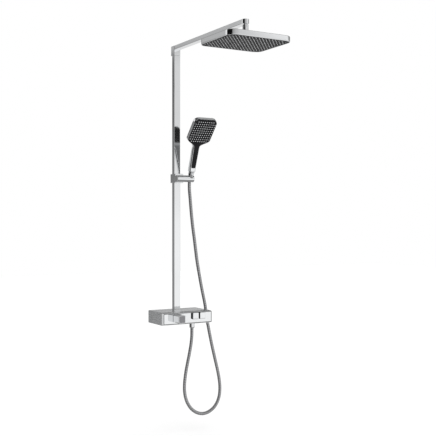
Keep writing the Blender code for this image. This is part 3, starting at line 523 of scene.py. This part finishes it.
def hose_piece():
    """Smooth-skinned hose with a shallow spiral rib; its UV map counts turns along it."""
    spacing = 0.0012
    pitch = 0.0100
    rib = 0.00012
    sides = 28
    points = smooth_route(HOSE_ROUTE, spacing)
    bm = bmesh.new()
    uv = bm.loops.layers.uv.new("turns")
    side = Vector((1, 0, 0))
    rings = []
    for i, point in enumerate(points):
        before = points[max(i - 1, 0)]
        after = points[min(i + 1, len(points) - 1)]
        along = (after - before).normalized()
        side = (side - along * side.dot(along)).normalized()
        other = along.cross(side)
        turns = i * spacing / pitch
        ring = []
        for k in range(sides):
            angle = math.tau * k / sides
            phase = angle + math.tau * turns
            radius = HOSE_RADIUS - HOSE_CLEARANCE - rib + rib * math.sin(phase)
            ring.append(bm.verts.new(point + side * radius * math.cos(angle)
                                     + other * radius * math.sin(angle)))
        rings.append(ring)
    for i, (lower, upper) in enumerate(zip(rings, rings[1:])):
        for k in range(sides):
            j = (k + 1) % sides
            face = bm.faces.new((lower[k], lower[j], upper[j], upper[k]))
            turns = (i * spacing / pitch, (i + 1) * spacing / pitch)
            for corner, (around, level) in zip(face.loops, ((k, 0), (k + 1, 0), (k + 1, 1), (k, 1))):
                corner[uv].uv = (around / sides, turns[level])
    bm.faces.new(rings[0])
    bm.faces.new(rings[-1])
    hose = finish_piece("hose_tube", bm, None, "hose", ["shower_hose"], 60)
    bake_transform(hose)
    length = sum((b - a).length for a, b in zip(points, points[1:]))
    return hose, points, length


def lower_nut():
    """Chrome nut under the mixer, with a knurled grip and a turned rim."""
    x, y = LOWER_NUT.mid.x, LOWER_NUT.mid.y
    top, bottom = LOWER_NUT.high.z, LOWER_NUT.low.z
    radius = LOWER_NUT.size.x / 2
    bm = bmesh.new()
    profile = [(radius - 0.0016, top), (radius - 0.0006, top - 0.0004), (radius, top - 0.0012),
               (radius, top - 0.0050), (radius - 0.0004, top - 0.0054),
               (radius - 0.0004, bottom + 0.0040), (radius, bottom + 0.0036),
               (radius - 0.0003, bottom + 0.0020), (radius - 0.0017, bottom + 0.0004),
               (radius - 0.0026, bottom), (0.0074, bottom), (0.0074, bottom + 0.0015),
               (0.0060, bottom + 0.0015)]
    add_loops(bm, turned_loops(profile, (x, y, 0)))
    ribs = 36
    for i in range(ribs):
        angle = math.tau * i / ribs
        outward = Vector((math.cos(angle), math.sin(angle), 0))
        across = Vector((-outward.y, outward.x, 0)) * 0.0004
        inner = Vector((x, y, 0)) + outward * (radius - 0.0006)
        outer = Vector((x, y, 0)) + outward * (radius - 0.0001)
        loops = []
        for z, reach in ((top - 0.0056, 0.0), (top - 0.0062, 1.0),
                         (bottom + 0.0048, 1.0), (bottom + 0.0042, 0.0)):
            tip = inner.lerp(outer, reach)
            loops.append([Vector((*(inner - across).xy, z)), Vector((*(inner + across).xy, z)),
                          Vector((*(tip + across / 2).xy, z)), Vector((*(tip - across / 2).xy, z))])
        add_loops(bm, loops)
    return finish_piece("lower_nut", bm, "root", "chrome", ["hose_lower_nut"])


# ---- mixer

def mixer_housing():
    """Brushed sleeve with softly rounded long edges, open at the wall and at the front."""
    wall, rim, ease = 0.0025, 0.004, 0.0005
    corner, inner_corner = 0.0032, 0.001
    low, high = HOUSING.low.y, HOUSING.high.y
    width, height = HOUSING.size.x, HOUSING.size.z
    loops = []
    for inset, depth in edge_steps(rim):
        outline = rounded_outline(width - 2 * inset, height, corner)
        loops.append(on_axis(outline, 1, high - depth, HOUSING.mid))
    loops.append(loop_across(HOUSING, 1, low + ease, 0, corner))
    loops.append(loop_across(HOUSING, 1, low, ease, corner - ease))
    loops.append(loop_across(HOUSING, 1, low, wall, inner_corner))
    loops.append(loop_across(HOUSING, 1, high - rim, wall, inner_corner))
    outline = rounded_outline(width - 2 * wall - 2 * rim, height - 2 * wall, inner_corner)
    loops.append(on_axis(outline, 1, high, HOUSING.mid))
    loft("housing_sleeve", loops, "root", "brushed_chrome", ["mixer_housing"], closed=True)


def front_panel():
    """Polished front with holes for the knob and the buttons, a black ring of painted rim reflection
    and a dark seam.
    """
    shank_hole = 0.0125
    button_hole_corner = 0.0033
    corner = 0.0030
    loops = []
    for inset, y in ((0.0022, PANEL.low.y), (0.0013, PANEL.low.y + 0.0003),
                     (0.0010, PANEL.low.y + 0.0010), (0.0, PANEL.high.y - 0.0006),
                     (0.0006, PANEL.high.y)):
        loops.append(loop_across(PANEL, 1, y, inset, corner - inset / 2))
    before, behind = PANEL.low.y - THROUGH, PANEL.high.y + THROUGH
    holes = [turned_loops([(shank_hole, 0), (shank_hole, behind - before)],
                          (KNOB_X, before, KNOB_Z), (0, 1, 0))]
    for button in BUTTONS.values():
        holes.append([loop_across(button, 1, y, -GAP, button_hole_corner) for y in (before, behind)])
    loft("panel_front", loops, "root", "chrome", ["front_panel"], holes=holes)
    front = PANEL.low.y
    # Black ring a little in from the rim: painted dark reflection of the panel's rounded edge
    groove = []
    for inset, rounding, ends in ((0.0024, 0.0020, (front + 0.0006, front - 0.0001)),
                                  (0.0048, 0.0010, (front - 0.0001, front + 0.0006))):
        groove.extend(loop_across(PANEL, 1, y, inset, rounding) for y in ends)
    loft("panel_painted_rim_reflection", groove, "root", "black_plastic", closed=True)
    seam_width = 0.0008
    seam = []
    for inset in (0.0015, 0.0045):
        ends = (PANEL.high.y, PANEL.high.y + seam_width)
        seam.extend(loop_across(PANEL, 1, y, inset, corner) for y in (ends[::-1] if seam else ends))
    loft("panel_seam", seam, "root", "black_plastic", closed=True)


def washer_ring(name, base, direction, inner, outer, height, body, slot):
    """Small turned ring with eased rims."""
    ease = min(0.0004, height / 3)
    profile = [(inner, 0), (outer, 0), (outer, height - ease), (outer - ease, height),
               (inner + ease, height), (inner, height - ease)]
    loft(name, turned_loops(profile, base, direction), body, slot, closed=True, sharp=40)


def knob():
    """Chrome block on a shank, with a smoked front plate and a stop button in its top pocket."""
    x, z = KNOB_X, KNOB_Z
    corner = 0.0060
    bore_radius, bore_depth = 0.0058, 0.0062
    shank_radius = 0.0115
    pocket_depth = 0.0055
    height = KNOB_FACE.size.z + 0.0030
    centre = Extent("temperature_knob")
    centre.mid = Vector((x, 0, z))
    back = PANEL.low.y - 0.0015
    loops = block_loops(centre, 1, corner, 0.0014, 0.0010, KNOB.low.y, back, (KNOB.size.x, height))
    top = z + height / 2
    play = 0.0003
    pocket = box_loops((STOP.low.x - play, STOP.low.y - play, top - pocket_depth),
                       (STOP.high.x + play, STOP.high.y + play, top + THROUGH))
    bore = turned_loops([(bore_radius, -THROUGH), (bore_radius, bore_depth)],
                        (x, back, z), (0, -1, 0))
    loft("knob_block", loops, "temperature_knob", "chrome", ["temperature_knob"],
         holes=[pocket, bore])
    length = KNOB.high.y - back
    shank = [(bore_radius, 0), (shank_radius, 0), (shank_radius, length), (bore_radius, length)]
    loft("knob_shank", turned_loops(shank, (x, back, z), (0, 1, 0)), "temperature_knob", "chrome",
         closed=True)
    washer_ring("knob_base_ring", (x, PANEL.low.y - 0.0002, z), (0, -1, 0), 0.0118, 0.0138,
                0.0011, "root", "steel")
    face, margin = KNOB_FACE, 0.0014
    inset_face = block_loops(face, 1, 0.0032, 0.0007, 0.0001, face.low.y - 0.0002, face.low.y + 0.0012,
                             (face.size.x - margin, face.size.z - margin))
    plate = loft("knob_face", inset_face, "temperature_knob", "black_plastic", ["knob_front_plate"])
    plate.data.materials[0] = chrome_material("smoked_plating", (0.24, 0.24, 0.25), 0.12, 0.22)
    press = block_loops(STOP, 2, 0.0016, 0.0002, 0.0007)
    loft("stop_press", press, "stop_button", "black_plastic", ["knob_stop_button"])
    frame_low = face.high.z + 0.0012
    surround = []
    for inset, rounding, heights in ((-0.0008, 0.0024, (0, 0.0006)), (-0.0002, 0.0018, (0.0006, 0))):
        surround.extend(loop_across(STOP, 2, frame_low + rise, inset, rounding) for rise in heights)
    loft("stop_surround", surround, "temperature_knob", "black_plastic", closed=True)


def push_button(name, extent):
    """Chrome cap with a dished face, on a hollow black skirt with a stem, in a black ring of painted
    shade at the gap.
    """
    face_low = extent.low.y
    skirt_front = face_low + 0.0022
    back = PANEL.low.y + 0.0065
    corner = 0.0030
    dish = 0.0028
    loops = []
    for inset, depth in ((dish + 0.0030, 0.0004), (dish + 0.0012, 0.0004), (dish, 0.0001),
                         (0.0016, 0.0), (0.0008, 0.0002), (0.0003, 0.0007), (0.0, 0.0014)):
        loops.append(loop_across(extent, 1, face_low + depth, inset, max(corner - inset, 0.0008)))
    loops.append(loop_across(extent, 1, skirt_front, 0, corner))
    loft(f"{name}_cap", loops, f"{name}_button", "chrome", [f"{name}_button"])
    skirt = []
    for inset, rounding, ends in ((0.0002, 0.0028, (skirt_front, back)),
                                  (0.0017, 0.0014, (back, skirt_front))):
        skirt.extend(loop_across(extent, 1, y, inset, rounding) for y in ends)
    loft(f"{name}_skirt", skirt, f"{name}_button", "black_plastic", closed=True)
    stem = [(0.0030, 0.0018), (0.0030, extent.size.y - 0.0006), (0.0024, extent.size.y)]
    loft(f"{name}_stem", turned_loops(stem, (extent.mid.x, face_low, extent.mid.z), (0, 1, 0), 24),
         f"{name}_button", "black_plastic")
    # Black ring round the button: painted shade in the gap between the button and the panel
    front = PANEL.low.y - 0.0001
    painted_gap_shade = []
    for inset, rounding, ends in ((-0.0006, 0.0036, (front + 0.0006, front)),
                                  (-0.00015, 0.0031, (front, front + 0.0006))):
        painted_gap_shade.extend(loop_across(extent, 1, y, inset, rounding) for y in ends)
    loft(f"{name}_gap", painted_gap_shade, "root", "black_plastic", closed=True, sharp=40)


def button_spring(name):
    """Coil round the button's stem."""
    extent = Extent(f"{name}_button_spring")
    wire = 0.0006
    radius = extent.size.x / 2 - wire
    start, end = extent.low.y + wire, extent.high.y - wire
    turns, steps, sides = 7, 28, 8
    total = turns * steps
    loops = []
    for i in range(total + 1):
        angle = math.tau * i / steps
        outward = Vector((math.cos(angle), 0, math.sin(angle)))
        point = Vector((extent.mid.x, start + (end - start) * i / total, extent.mid.z))
        loops.append([point + outward * (radius + a) + Vector((0, b, 0))
                      for a, b in circle(wire, sides)])
    coil = loft(f"{name}_coil", loops, None, "steel", [f"{name}_button_spring"], sharp=60)
    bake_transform(coil)


# ---- column

def riser():
    """Square profile that stands on the mixer."""
    loops = block_loops(RISER, 2, COLUMN_CORNER, PROFILE_RIM, PROFILE_RIM)
    loft("riser_profile", loops, "root", "chrome", ["riser_tube"])


def elbow():
    """Corner block whose front face meets the arm, with a fine joint line at the riser."""
    bottom = RISER.high.z + GAP
    shape = Extent("elbow")
    front = RISER.low.y - GAP
    shape.mid = Vector((shape.mid.x, (front + shape.high.y) / 2, shape.mid.z))
    loops = block_loops(shape, 2, COLUMN_CORNER, 0.0006, 0.0016, bottom, shape.high.z,
                        (shape.size.x, shape.high.y - front))
    loft("elbow_block", loops, "root", "chrome", ["elbow"])


def arm():
    """Square profile from the corner block out over the room."""
    loops = block_loops(ARM, 1, COLUMN_CORNER, PROFILE_RIM, PROFILE_RIM)
    loft("arm_profile", loops, "root", "chrome", ["arm_tube"])


def arm_tip():
    """Round-ended block at the arm's tip, with eased rims."""
    rim = 0.0008
    radius = ARM_TIP.size.x / 2
    centre_y = ARM_TIP.low.y + radius
    join = ARM.low.y - GAP
    steps = 28
    loops = []
    for inset, z in eased_ends(ARM_TIP.low.z, ARM_TIP.high.z, rim, rim):
        reach = radius - inset
        points = [Vector((reach, join, z)), Vector((-reach, join, z))]
        for step in range(steps + 1):
            angle = math.pi + math.pi * step / steps
            points.append(Vector((reach * math.cos(angle), centre_y + reach * math.sin(angle), z)))
        loops.append(points)
    loft("arm_tip_block", loops, "root", "chrome", ["arm_end"])


# ---- rain head

def head_loop(inset, z):
    """The head's outline at a height, drawn in by an inset."""
    corner, smallest, steps = 0.034, 0.004, 12
    radius = max(corner - inset, smallest)
    outline = rounded_outline(HEAD.size.x - 2 * inset, HEAD.size.y - 2 * inset, radius, steps)
    return on_axis(outline, 2, z, HEAD.mid)


def rain_head():
    """Shallow chrome tray with a turned hub, a black spray plate and soft nozzles."""
    tray_height = 0.021
    centre = HEAD.mid
    bottom = HEAD.low.z
    top = bottom + tray_height
    sections = [(0.060, top - 0.0002), (0.012, top - 0.0002), (0.0040, top - 0.0004),
                (0.0016, top - 0.0009), (0.0005, top - 0.0018), (0.0, top - 0.0032),
                (0.0, bottom + 0.0012), (0.0003, bottom + 0.0004), (0.0009, bottom),
                (0.0024, bottom), (0.0026, bottom + 0.0008), (0.0026, bottom + 0.0060)]
    loops = [head_loop(inset, z) for inset, z in sections]
    bm = bmesh.new()
    add_loops(bm, loops)
    hub = [(0.0185, top - 0.0010), (0.0182, top + 0.0004), (0.0172, top + 0.0014),
           (0.0150, top + 0.0030), (0.0128, top + 0.0052), (0.0121, top + 0.0070),
           (0.0119, NUT.low.z - GAP)]
    add_loops(bm, turned_loops(hub, (centre.x, centre.y, 0)))
    finish_piece("head_shell", bm, "rain_head", "chrome", ["rain_head_shell"])

    face = bottom + 0.0006
    sections = [(0.0029, bottom + 0.0040), (0.0029, face + 0.0004), (0.0036, face)]
    plate = [head_loop(inset, z) for inset, z in sections]
    loft("spray_plate", plate, "rain_head", "black_plastic",
         ["rain_spray_plate", "rain_nozzle_mat"])
    rain_nozzles(centre, face)


def nozzle_loops(base, out, radius, height, sides):
    """A tapered nozzle on a low ring, with a small hole in its tip."""
    profile = [(radius * 1.35, 0.0), (radius * 1.30, height * 0.18), (radius, height * 0.28),
               (radius * 0.72, height), (radius * 0.30, height), (radius * 0.26, height * 0.80)]
    return turned_loops(profile, base, out, sides)


def rain_nozzles(centre, face):
    """Staggered rows of soft nozzles below the spray plate."""
    across, deep = 18, 25
    margin = 0.0135
    corner_reach = 1.85         # nozzles nearer the corners than this are left out
    size = 0.0013
    step_x = (HEAD.size.x - 2 * margin) / (across - 1)
    step_y = (HEAD.size.y - 2 * margin) / (deep - 1)
    bm = bmesh.new()
    for row in range(deep):
        y = -HEAD.size.y / 2 + margin + row * step_y
        shift = step_x / 2 if row % 2 else 0.0
        for column in range(across - (row % 2)):
            x = -HEAD.size.x / 2 + margin + column * step_x + shift
            beyond = abs(x) / (HEAD.size.x / 2 - margin) + abs(y) / (HEAD.size.y / 2 - margin)
            if beyond > corner_reach:
                continue
            base = Vector((centre.x + x, centre.y + y, face + 0.0003))
            add_loops(bm, nozzle_loops(base, (0, 0, -1), size, size, 6))
    finish_piece("rain_nozzles", bm, "rain_head", "silicone", sharp=50)


def swivel_nut():
    """Turned nut below the arm with a fine groove and eight shallow grips."""
    radius = NUT.size.x / 2
    top, bottom = NUT.high.z, NUT.low.z
    grips, grip_depth = 8, 0.0005
    loops = []
    count = 64
    profile = [(radius - 0.0022, top, 0), (radius - 0.0008, top - 0.0002, 0),
               (radius, top - 0.0012, 0), (radius, top - 0.0060, 0),
               (radius - 0.0006, top - 0.0066, 0), (radius - 0.0006, top - 0.0076, 0),
               (radius, top - 0.0084, 0), (radius, top - 0.0094, 1), (radius, bottom + 0.0040, 1),
               (radius, bottom + 0.0026, 0), (radius - 0.0002, bottom + 0.0008, 0),
               (radius - 0.0012, bottom, 0), (radius - 0.0030, bottom, 0),
               (radius - 0.0030, bottom + 0.0030, 0)]
    for reach, z, fluted in profile:
        points = []
        for i in range(count):
            angle = math.tau * i / count
            groove = grip_depth * fluted * max(0.0, math.cos(grips * angle)) ** 2
            points.append(Vector((NUT.mid.x + (reach - groove) * math.cos(angle),
                                  NUT.mid.y + (reach - groove) * math.sin(angle), z)))
        loops.append(points)
    loft("swivel_collar", loops, "swivel_nut", "chrome", ["swivel_nut"])


# ---- slider and holder

def slider():
    """Block with eased edges and a channel for its liner and the riser."""
    corner, rim = 0.0022, 0.0010
    loops = block_loops(SLIDER, 2, corner, rim, rim)
    liner = Extent("slider_liner")
    channel = box_loops((liner.low.x - GAP, liner.low.y - GAP, SLIDER.low.z - THROUGH),
                        (liner.high.x + GAP, liner.high.y + GAP, SLIDER.high.z + THROUGH))
    loft("slider_block", loops, "slider", "chrome", ["slider_body"], holes=[channel])


def holder_bar():
    """Polished bar: hollow and slotted for its link on the left, a cone socket on the right."""
    radius = (BAR.high.z - BAR.low.z) / 2
    end_rim = 0.0016
    bore_radius, bore_end = 0.0120, 0.0210
    socket_radius, socket_reach = 0.0122, 0.025
    slot_side, slot_reach, slot_swing = 0.0052, 0.030, math.radians(62)
    left, right = BAR.low.x, BAR.high.x
    base = (0, BAR_AXIS.y, BAR_AXIS.z)
    profile = [(radius - 0.0004, left), (radius, left + 0.0004), (radius, right - end_rim)]
    for inset, depth in reversed(edge_steps(end_rim)):
        profile.append((radius - inset, right - depth))
    bm = bmesh.new()
    add_loops(bm, turned_loops(profile, base, (1, 0, 0), 64))
    bore = turned_loops([(bore_radius, left - THROUGH), (bore_radius, bore_end)], base, (1, 0, 0))
    socket = turned_loops([(socket_radius, -socket_reach), (socket_radius, socket_reach)],
                          SOCKET_CENTRE, HANDLE_AXIS)
    corners = [(0.0, 0.0)]
    for step in range(7):
        angle = slot_swing * (step / 3 - 1)
        corners.append((slot_reach * math.cos(angle), slot_reach * math.sin(angle)))
    slot = [on_axis(corners, 0, x, base) for x in (-slot_side, slot_side)]
    finish_piece("holder_tube", bm, "holder", "chrome", ["holder_bar"],
                 holes=[bore, slot, socket])
    profile = [(radius - 0.0012, BAR_CAP.low.x), (radius - 0.0003, BAR_CAP.low.x + 0.0003),
               (radius, BAR_CAP.low.x + 0.0010), (radius, BAR_CAP.high.x)]
    loft("bar_end_cap", turned_loops(profile, base, (1, 0, 0), 64), "holder", "chrome",
         ["holder_bar_cap"])


def cone_nut():
    """Tapered chrome nut with a grip ring, and the hose's end that stretches inside it."""
    end = COLLAR_START - GAP
    profile = [(0.0085, -0.0120), (0.0098, -0.0116), (0.0103, 0.0120), (0.0106, 0.0162),
               (0.0113, 0.0172), (0.0116, 0.0184), (0.0116, end - 0.0016), (0.0113, end - 0.0006),
               (0.0108, end)]
    body = loft("cone_nut_body", turned_loops(profile, SOCKET_CENTRE, HANDLE_AXIS, 48), "cone_nut",
                "chrome", ["hose_cone_nut"])
    sleeve_radius, low, high, steps = 0.0062, -0.0100, 0.0120, 22
    profile = [(sleeve_radius, low + (high - low) * step / steps) for step in range(steps + 1)]
    sleeve = loft("hose_end", turned_loops(profile, SOCKET_CENTRE, HANDLE_AXIS, 28), None, "hose",
                  sharp=40)
    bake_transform(sleeve)
    return body


# ---- handset

def smooth_step(t):
    """Rise from 0 to 1 that starts and ends gently."""
    t = max(0.0, min(1.0, t))
    return t * t * (3 - 2 * t)


def mixed(a, b, t):
    """Gentle change from a to b as t goes from 0 to 1."""
    return a + (b - a) * smooth_step(t)


def handset_angle(distance):
    """The handset's lean at a station: the handle's, then turning to the head's."""
    return mixed(HANDLE_TILT, HEAD_TILT, (distance - NECK_START) / 0.030)


def handset_centre(distance):
    """Point on the handset's middle line, found by adding up short steps along it."""
    steps = max(1, round(distance / 0.002))
    step = distance / steps
    y, z = BAR_AXIS.y, BAR_AXIS.z
    for i in range(steps):
        angle = handset_angle((i + 0.5) * step)
        y -= step * math.sin(angle)
        z += step * math.cos(angle)
    return Vector((SOCKET_X, y, z))


def handset_width(distance):
    """A slim handle that flares into the square head with a rounded top."""
    handle = mixed(0.0275, 0.0300, (distance - HANDLE_START) / (NECK_START - HANDLE_START))
    width = mixed(handle, HANDSET_WIDTH, (distance - NECK_START) / 0.0380)
    into_end = distance - (HANDSET_END - TOP_CORNER)
    if into_end > 0:
        width -= 2 * TOP_CORNER * (1 - math.sqrt(max(0.0, 1 - (into_end / TOP_CORNER) ** 2)))
    return width


def handset_thickness(distance):
    """Thinner towards the neck, thicker in the head, and tapered at the very top."""
    thick = mixed(0.0235, 0.0190, (distance - HANDLE_START) / (NECK_START - HANDLE_START))
    thick = mixed(thick, 0.0215, (distance - NECK_START) / 0.0350)
    into_end = max(0.0, (distance - (HANDSET_END - 0.012)) / 0.012)
    return thick - 0.006 * into_end ** 2


def handset_section(distance, width, back, front, radius):
    """Rounded rectangle across the handset, from back to front of its middle line."""
    centre = handset_centre(distance)
    angle = handset_angle(distance)
    out = Vector((0, -math.cos(angle), -math.sin(angle)))
    middle = (front + back) / 2
    points = []
    for side, depth in rounded_outline(width, front - back, radius):
        points.append(centre + Vector((side, 0, 0)) + out * (middle + depth))
    return points


def handset_stations():
    """Even steps along the handle, then closer ones through the neck and round the top."""
    stations = [HANDLE_START + 0.0003, HANDLE_START + 0.0007, HANDLE_START + 0.0015]
    while stations[-1] < NECK_START:
        stations.append(stations[-1] + 0.0085)
    while stations[-1] < NECK_START + 0.040:
        stations.append(stations[-1] + 0.0025)
    while stations[-1] < HANDSET_END - 0.026:
        stations.append(stations[-1] + 0.0080)
    for step in range(1, 13):
        angle = math.pi / 2 * step / 13
        stations.append(HANDSET_END - TOP_CORNER + TOP_CORNER * math.sin(angle))
    stations.append(HANDSET_END - 0.0004)
    return [s for i, s in enumerate(stations) if i == 0 or s > stations[i - 1]]


def handset():
    """Plated shell, black front cover with nozzles, and a collar at the foot of the handle."""
    body_roundness = 0.30       # corner radius as a share of the section's smaller side
    cover_corner = 0.0012
    stations = handset_stations()
    shell = []
    for i, distance in enumerate(stations):
        width = handset_width(distance)
        thick = handset_thickness(distance)
        lip = (0.0008, 0.0003)[i] if i < 2 else 0.0
        front = thick / 2 - COVER_THICKNESS * smooth_step((distance - COVER_START + 0.004) / 0.004)
        radius = min(width, front + thick / 2) * body_roundness
        shell.append(handset_section(distance, width - 2 * lip, -thick / 2 + lip, front - lip, radius))
    loft("handset_body", shell, "handset", "plated_plastic", ["handset_shell"], sharp=50)

    cover = []
    first = True
    for distance in [COVER_START, *[s for s in stations if s > COVER_START + 0.002][:-1]]:
        margin = mixed(0.0085, 0.0034, (distance - NECK_START) / 0.0300)
        width = handset_width(distance) - margin
        front = handset_thickness(distance) / 2
        lift = 0.0010 if first else 0.0
        cover.append(handset_section(distance, width - lift, front - COVER_THICKNESS - 0.0012,
                                     front - lift / 2, cover_corner))
        first = False
    loft("handset_cover", cover, "handset", "black_plastic",
         ["handset_front_cover", "handset_nozzle_mat"], sharp=40)
    handset_nozzles()

    profile = [(0.0106, COLLAR_START + 0.0001), (0.0114, COLLAR_START + 0.0004),
               (0.0120, COLLAR_START + 0.0012), (0.0120, COLLAR_START + 0.0034),
               (0.0112, COLLAR_START + 0.0040), (0.0112, HANDLE_START + 0.0006)]
    loft("handset_ring", turned_loops(profile, SOCKET_CENTRE, HANDLE_AXIS, 48), "handset",
         "plated_plastic", ["handset_collar"])


def handset_nozzles():
    """Even rows of small nozzles over the square face."""
    rows, columns = 10, 10
    radius, height = 0.0015, 0.0012
    half_height = 0.0480
    half_width = HANDSET_WIDTH / 2 - 0.0080
    step_x = 2 * half_width / (columns - 1)
    step_s = 2 * half_height / (rows - 1)
    bm = bmesh.new()
    for row in range(rows):
        distance = HANDSET_HEAD_MID + 0.002 - half_height + row * step_s
        angle = handset_angle(distance)
        out = Vector((0, -math.cos(angle), -math.sin(angle)))
        room = handset_width(distance) / 2 - 0.0060
        for column in range(columns):
            x = -half_width + column * step_x
            if abs(x) > room:
                continue
            front = handset_thickness(distance) / 2
            base = handset_centre(distance) + Vector((x, 0, 0)) + out * (front - 0.0002)
            add_loops(bm, nozzle_loops(base, out, radius, height, 8))
    finish_piece("handset_nozzles", bm, "handset", "silicone", sharp=50)


# ---- studio

def studio():
    """Pale floor, one broad soft sun and a white room.

    Only reflections see the rings of light and dark that go round the room at several heights.
    """
    scene = bpy.context.scene
    scene.view_settings.view_transform = "Standard"
    bm = bmesh.new()
    reach = 9.0
    drop = 0.06
    bmesh.ops.create_grid(bm, x_segments=2, y_segments=2, size=reach)
    mesh = bpy.data.meshes.new("floor")
    bm.to_mesh(mesh)
    bm.free()
    mesh.materials.append(floor_material())
    floor = bpy.data.objects.new("floor", mesh)
    floor.location = (0, 0, CAD_BOX[0][2] - drop)
    floor.visible_glossy = False
    bpy.context.collection.objects.link(floor)

    light = bpy.data.lights.new("sun", "SUN")
    light.energy = 0.8
    light.angle = math.radians(70)
    sun = bpy.data.objects.new("sun", light)
    sun.rotation_euler = (math.radians(38), 0, math.radians(20))
    sun.visible_glossy = False
    bpy.context.collection.objects.link(sun)

    world = bpy.data.worlds.new("studio")
    world.use_nodes = True
    tree = world.node_tree
    place = add_node(tree, "TexCoord").outputs["Generated"]
    split = add_node(tree, "SeparateXYZ", {"Vector": place}).outputs
    azimuth = add_node(tree, "Math", {0: split["Y"], 1: split["X"]}, operation="ARCTAN2").outputs[0]
    turn = map_range(tree, azimuth, -math.pi, math.pi)

    def ring(stops):
        """Brightness round the room, from (compass degrees from +X towards +Y, value)."""
        ramp = add_node(tree, "ValToRGB", {"Fac": turn})
        elements = ramp.color_ramp.elements
        while len(elements) < len(stops):
            elements.new(0.5)
        for element, (degrees, value) in zip(elements, stops):
            element.position = (degrees + 180) / 360
            element.color = (value, value, value, 1)
        return ramp.outputs["Color"]

    def above(lower, upper, start, end):
        """Change from one colour to another between two heights on the unit sphere."""
        return mix_colours(tree, map_range(tree, split["Z"], start, end), lower, upper)

    floor_glow = ring([(-180, 0.30), (180, 0.30)])
    low = ring([(-180, 0.02), (-138, 0.02), (-126, 0.90), (-110, 1.0), (-60, 1.05), (0, 0.90),
                (15, 0.35), (42, 0.35), (54, 0.85), (70, 0.80), (100, 0.55), (114, 0.28),
                (122, 0.28), (127, 0.75), (138, 0.75), (146, 0.40), (152, 0.02), (180, 0.02)])
    middle = ring([(-180, 0.004), (-146, 0.004), (-136, 0.35), (-120, 0.50), (-60, 0.80),
                   (-30, 1.0), (20, 0.85), (60, 0.66), (95, 0.35), (112, 0.17), (124, 0.15),
                   (134, 0.90), (146, 0.90), (156, 0.004), (180, 0.004)])
    high = ring([(-180, 0.004), (-142, 0.004), (-132, 0.35), (-100, 0.55), (-58, 0.66),
                 (-55, 0.95), (-30, 0.95), (-5, 0.35), (40, 0.16), (90, 0.30), (112, 0.46),
                 (122, 0.52), (126, 1.0), (146, 1.0), (156, 0.004), (180, 0.004)])
    ceiling = ring([(-180, 0.08), (-90, 0.12), (-20, 0.02), (6, 0.02), (18, 0.40), (60, 0.40),
                    (80, 0.08), (180, 0.08)])
    side = above(above(low, middle, -0.02, 0.12), high, 0.186, 0.202)
    sky = above(above(floor_glow, side, -0.60, -0.45), ceiling, 0.70, 0.85)
    glossy = add_node(tree, "LightPath").outputs["Is Glossy Ray"]
    shown = mix_colours(tree, glossy, (1, 1, 1, 1), sky)
    tree.links.new(shown, tree.nodes["Background"].inputs["Color"])
    scene.world = world


# ---- inside and hidden parts

def finish_inner_parts():
    """CAD nodes that keep their shape take the detailed material of their slot."""
    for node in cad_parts.values():
        if node.hide_render:
            continue
        for slot in node.material_slots:
            name = slot.material.name.split(".")[0]
            slot.material = MATERIALS[name]


make_camera()
hose, hose_path, hose_length = hose_piece()
nut = lower_nut()
mixer_housing()
front_panel()
knob()
for button_name, button_extent in BUTTONS.items():
    push_button(button_name, button_extent)
    button_spring(button_name)
riser()
elbow()
arm()
arm_tip()
rain_head()
swivel_nut()
slider()
holder_bar()
upper_nut = cone_nut()
handset()
finish_inner_parts()
studio()
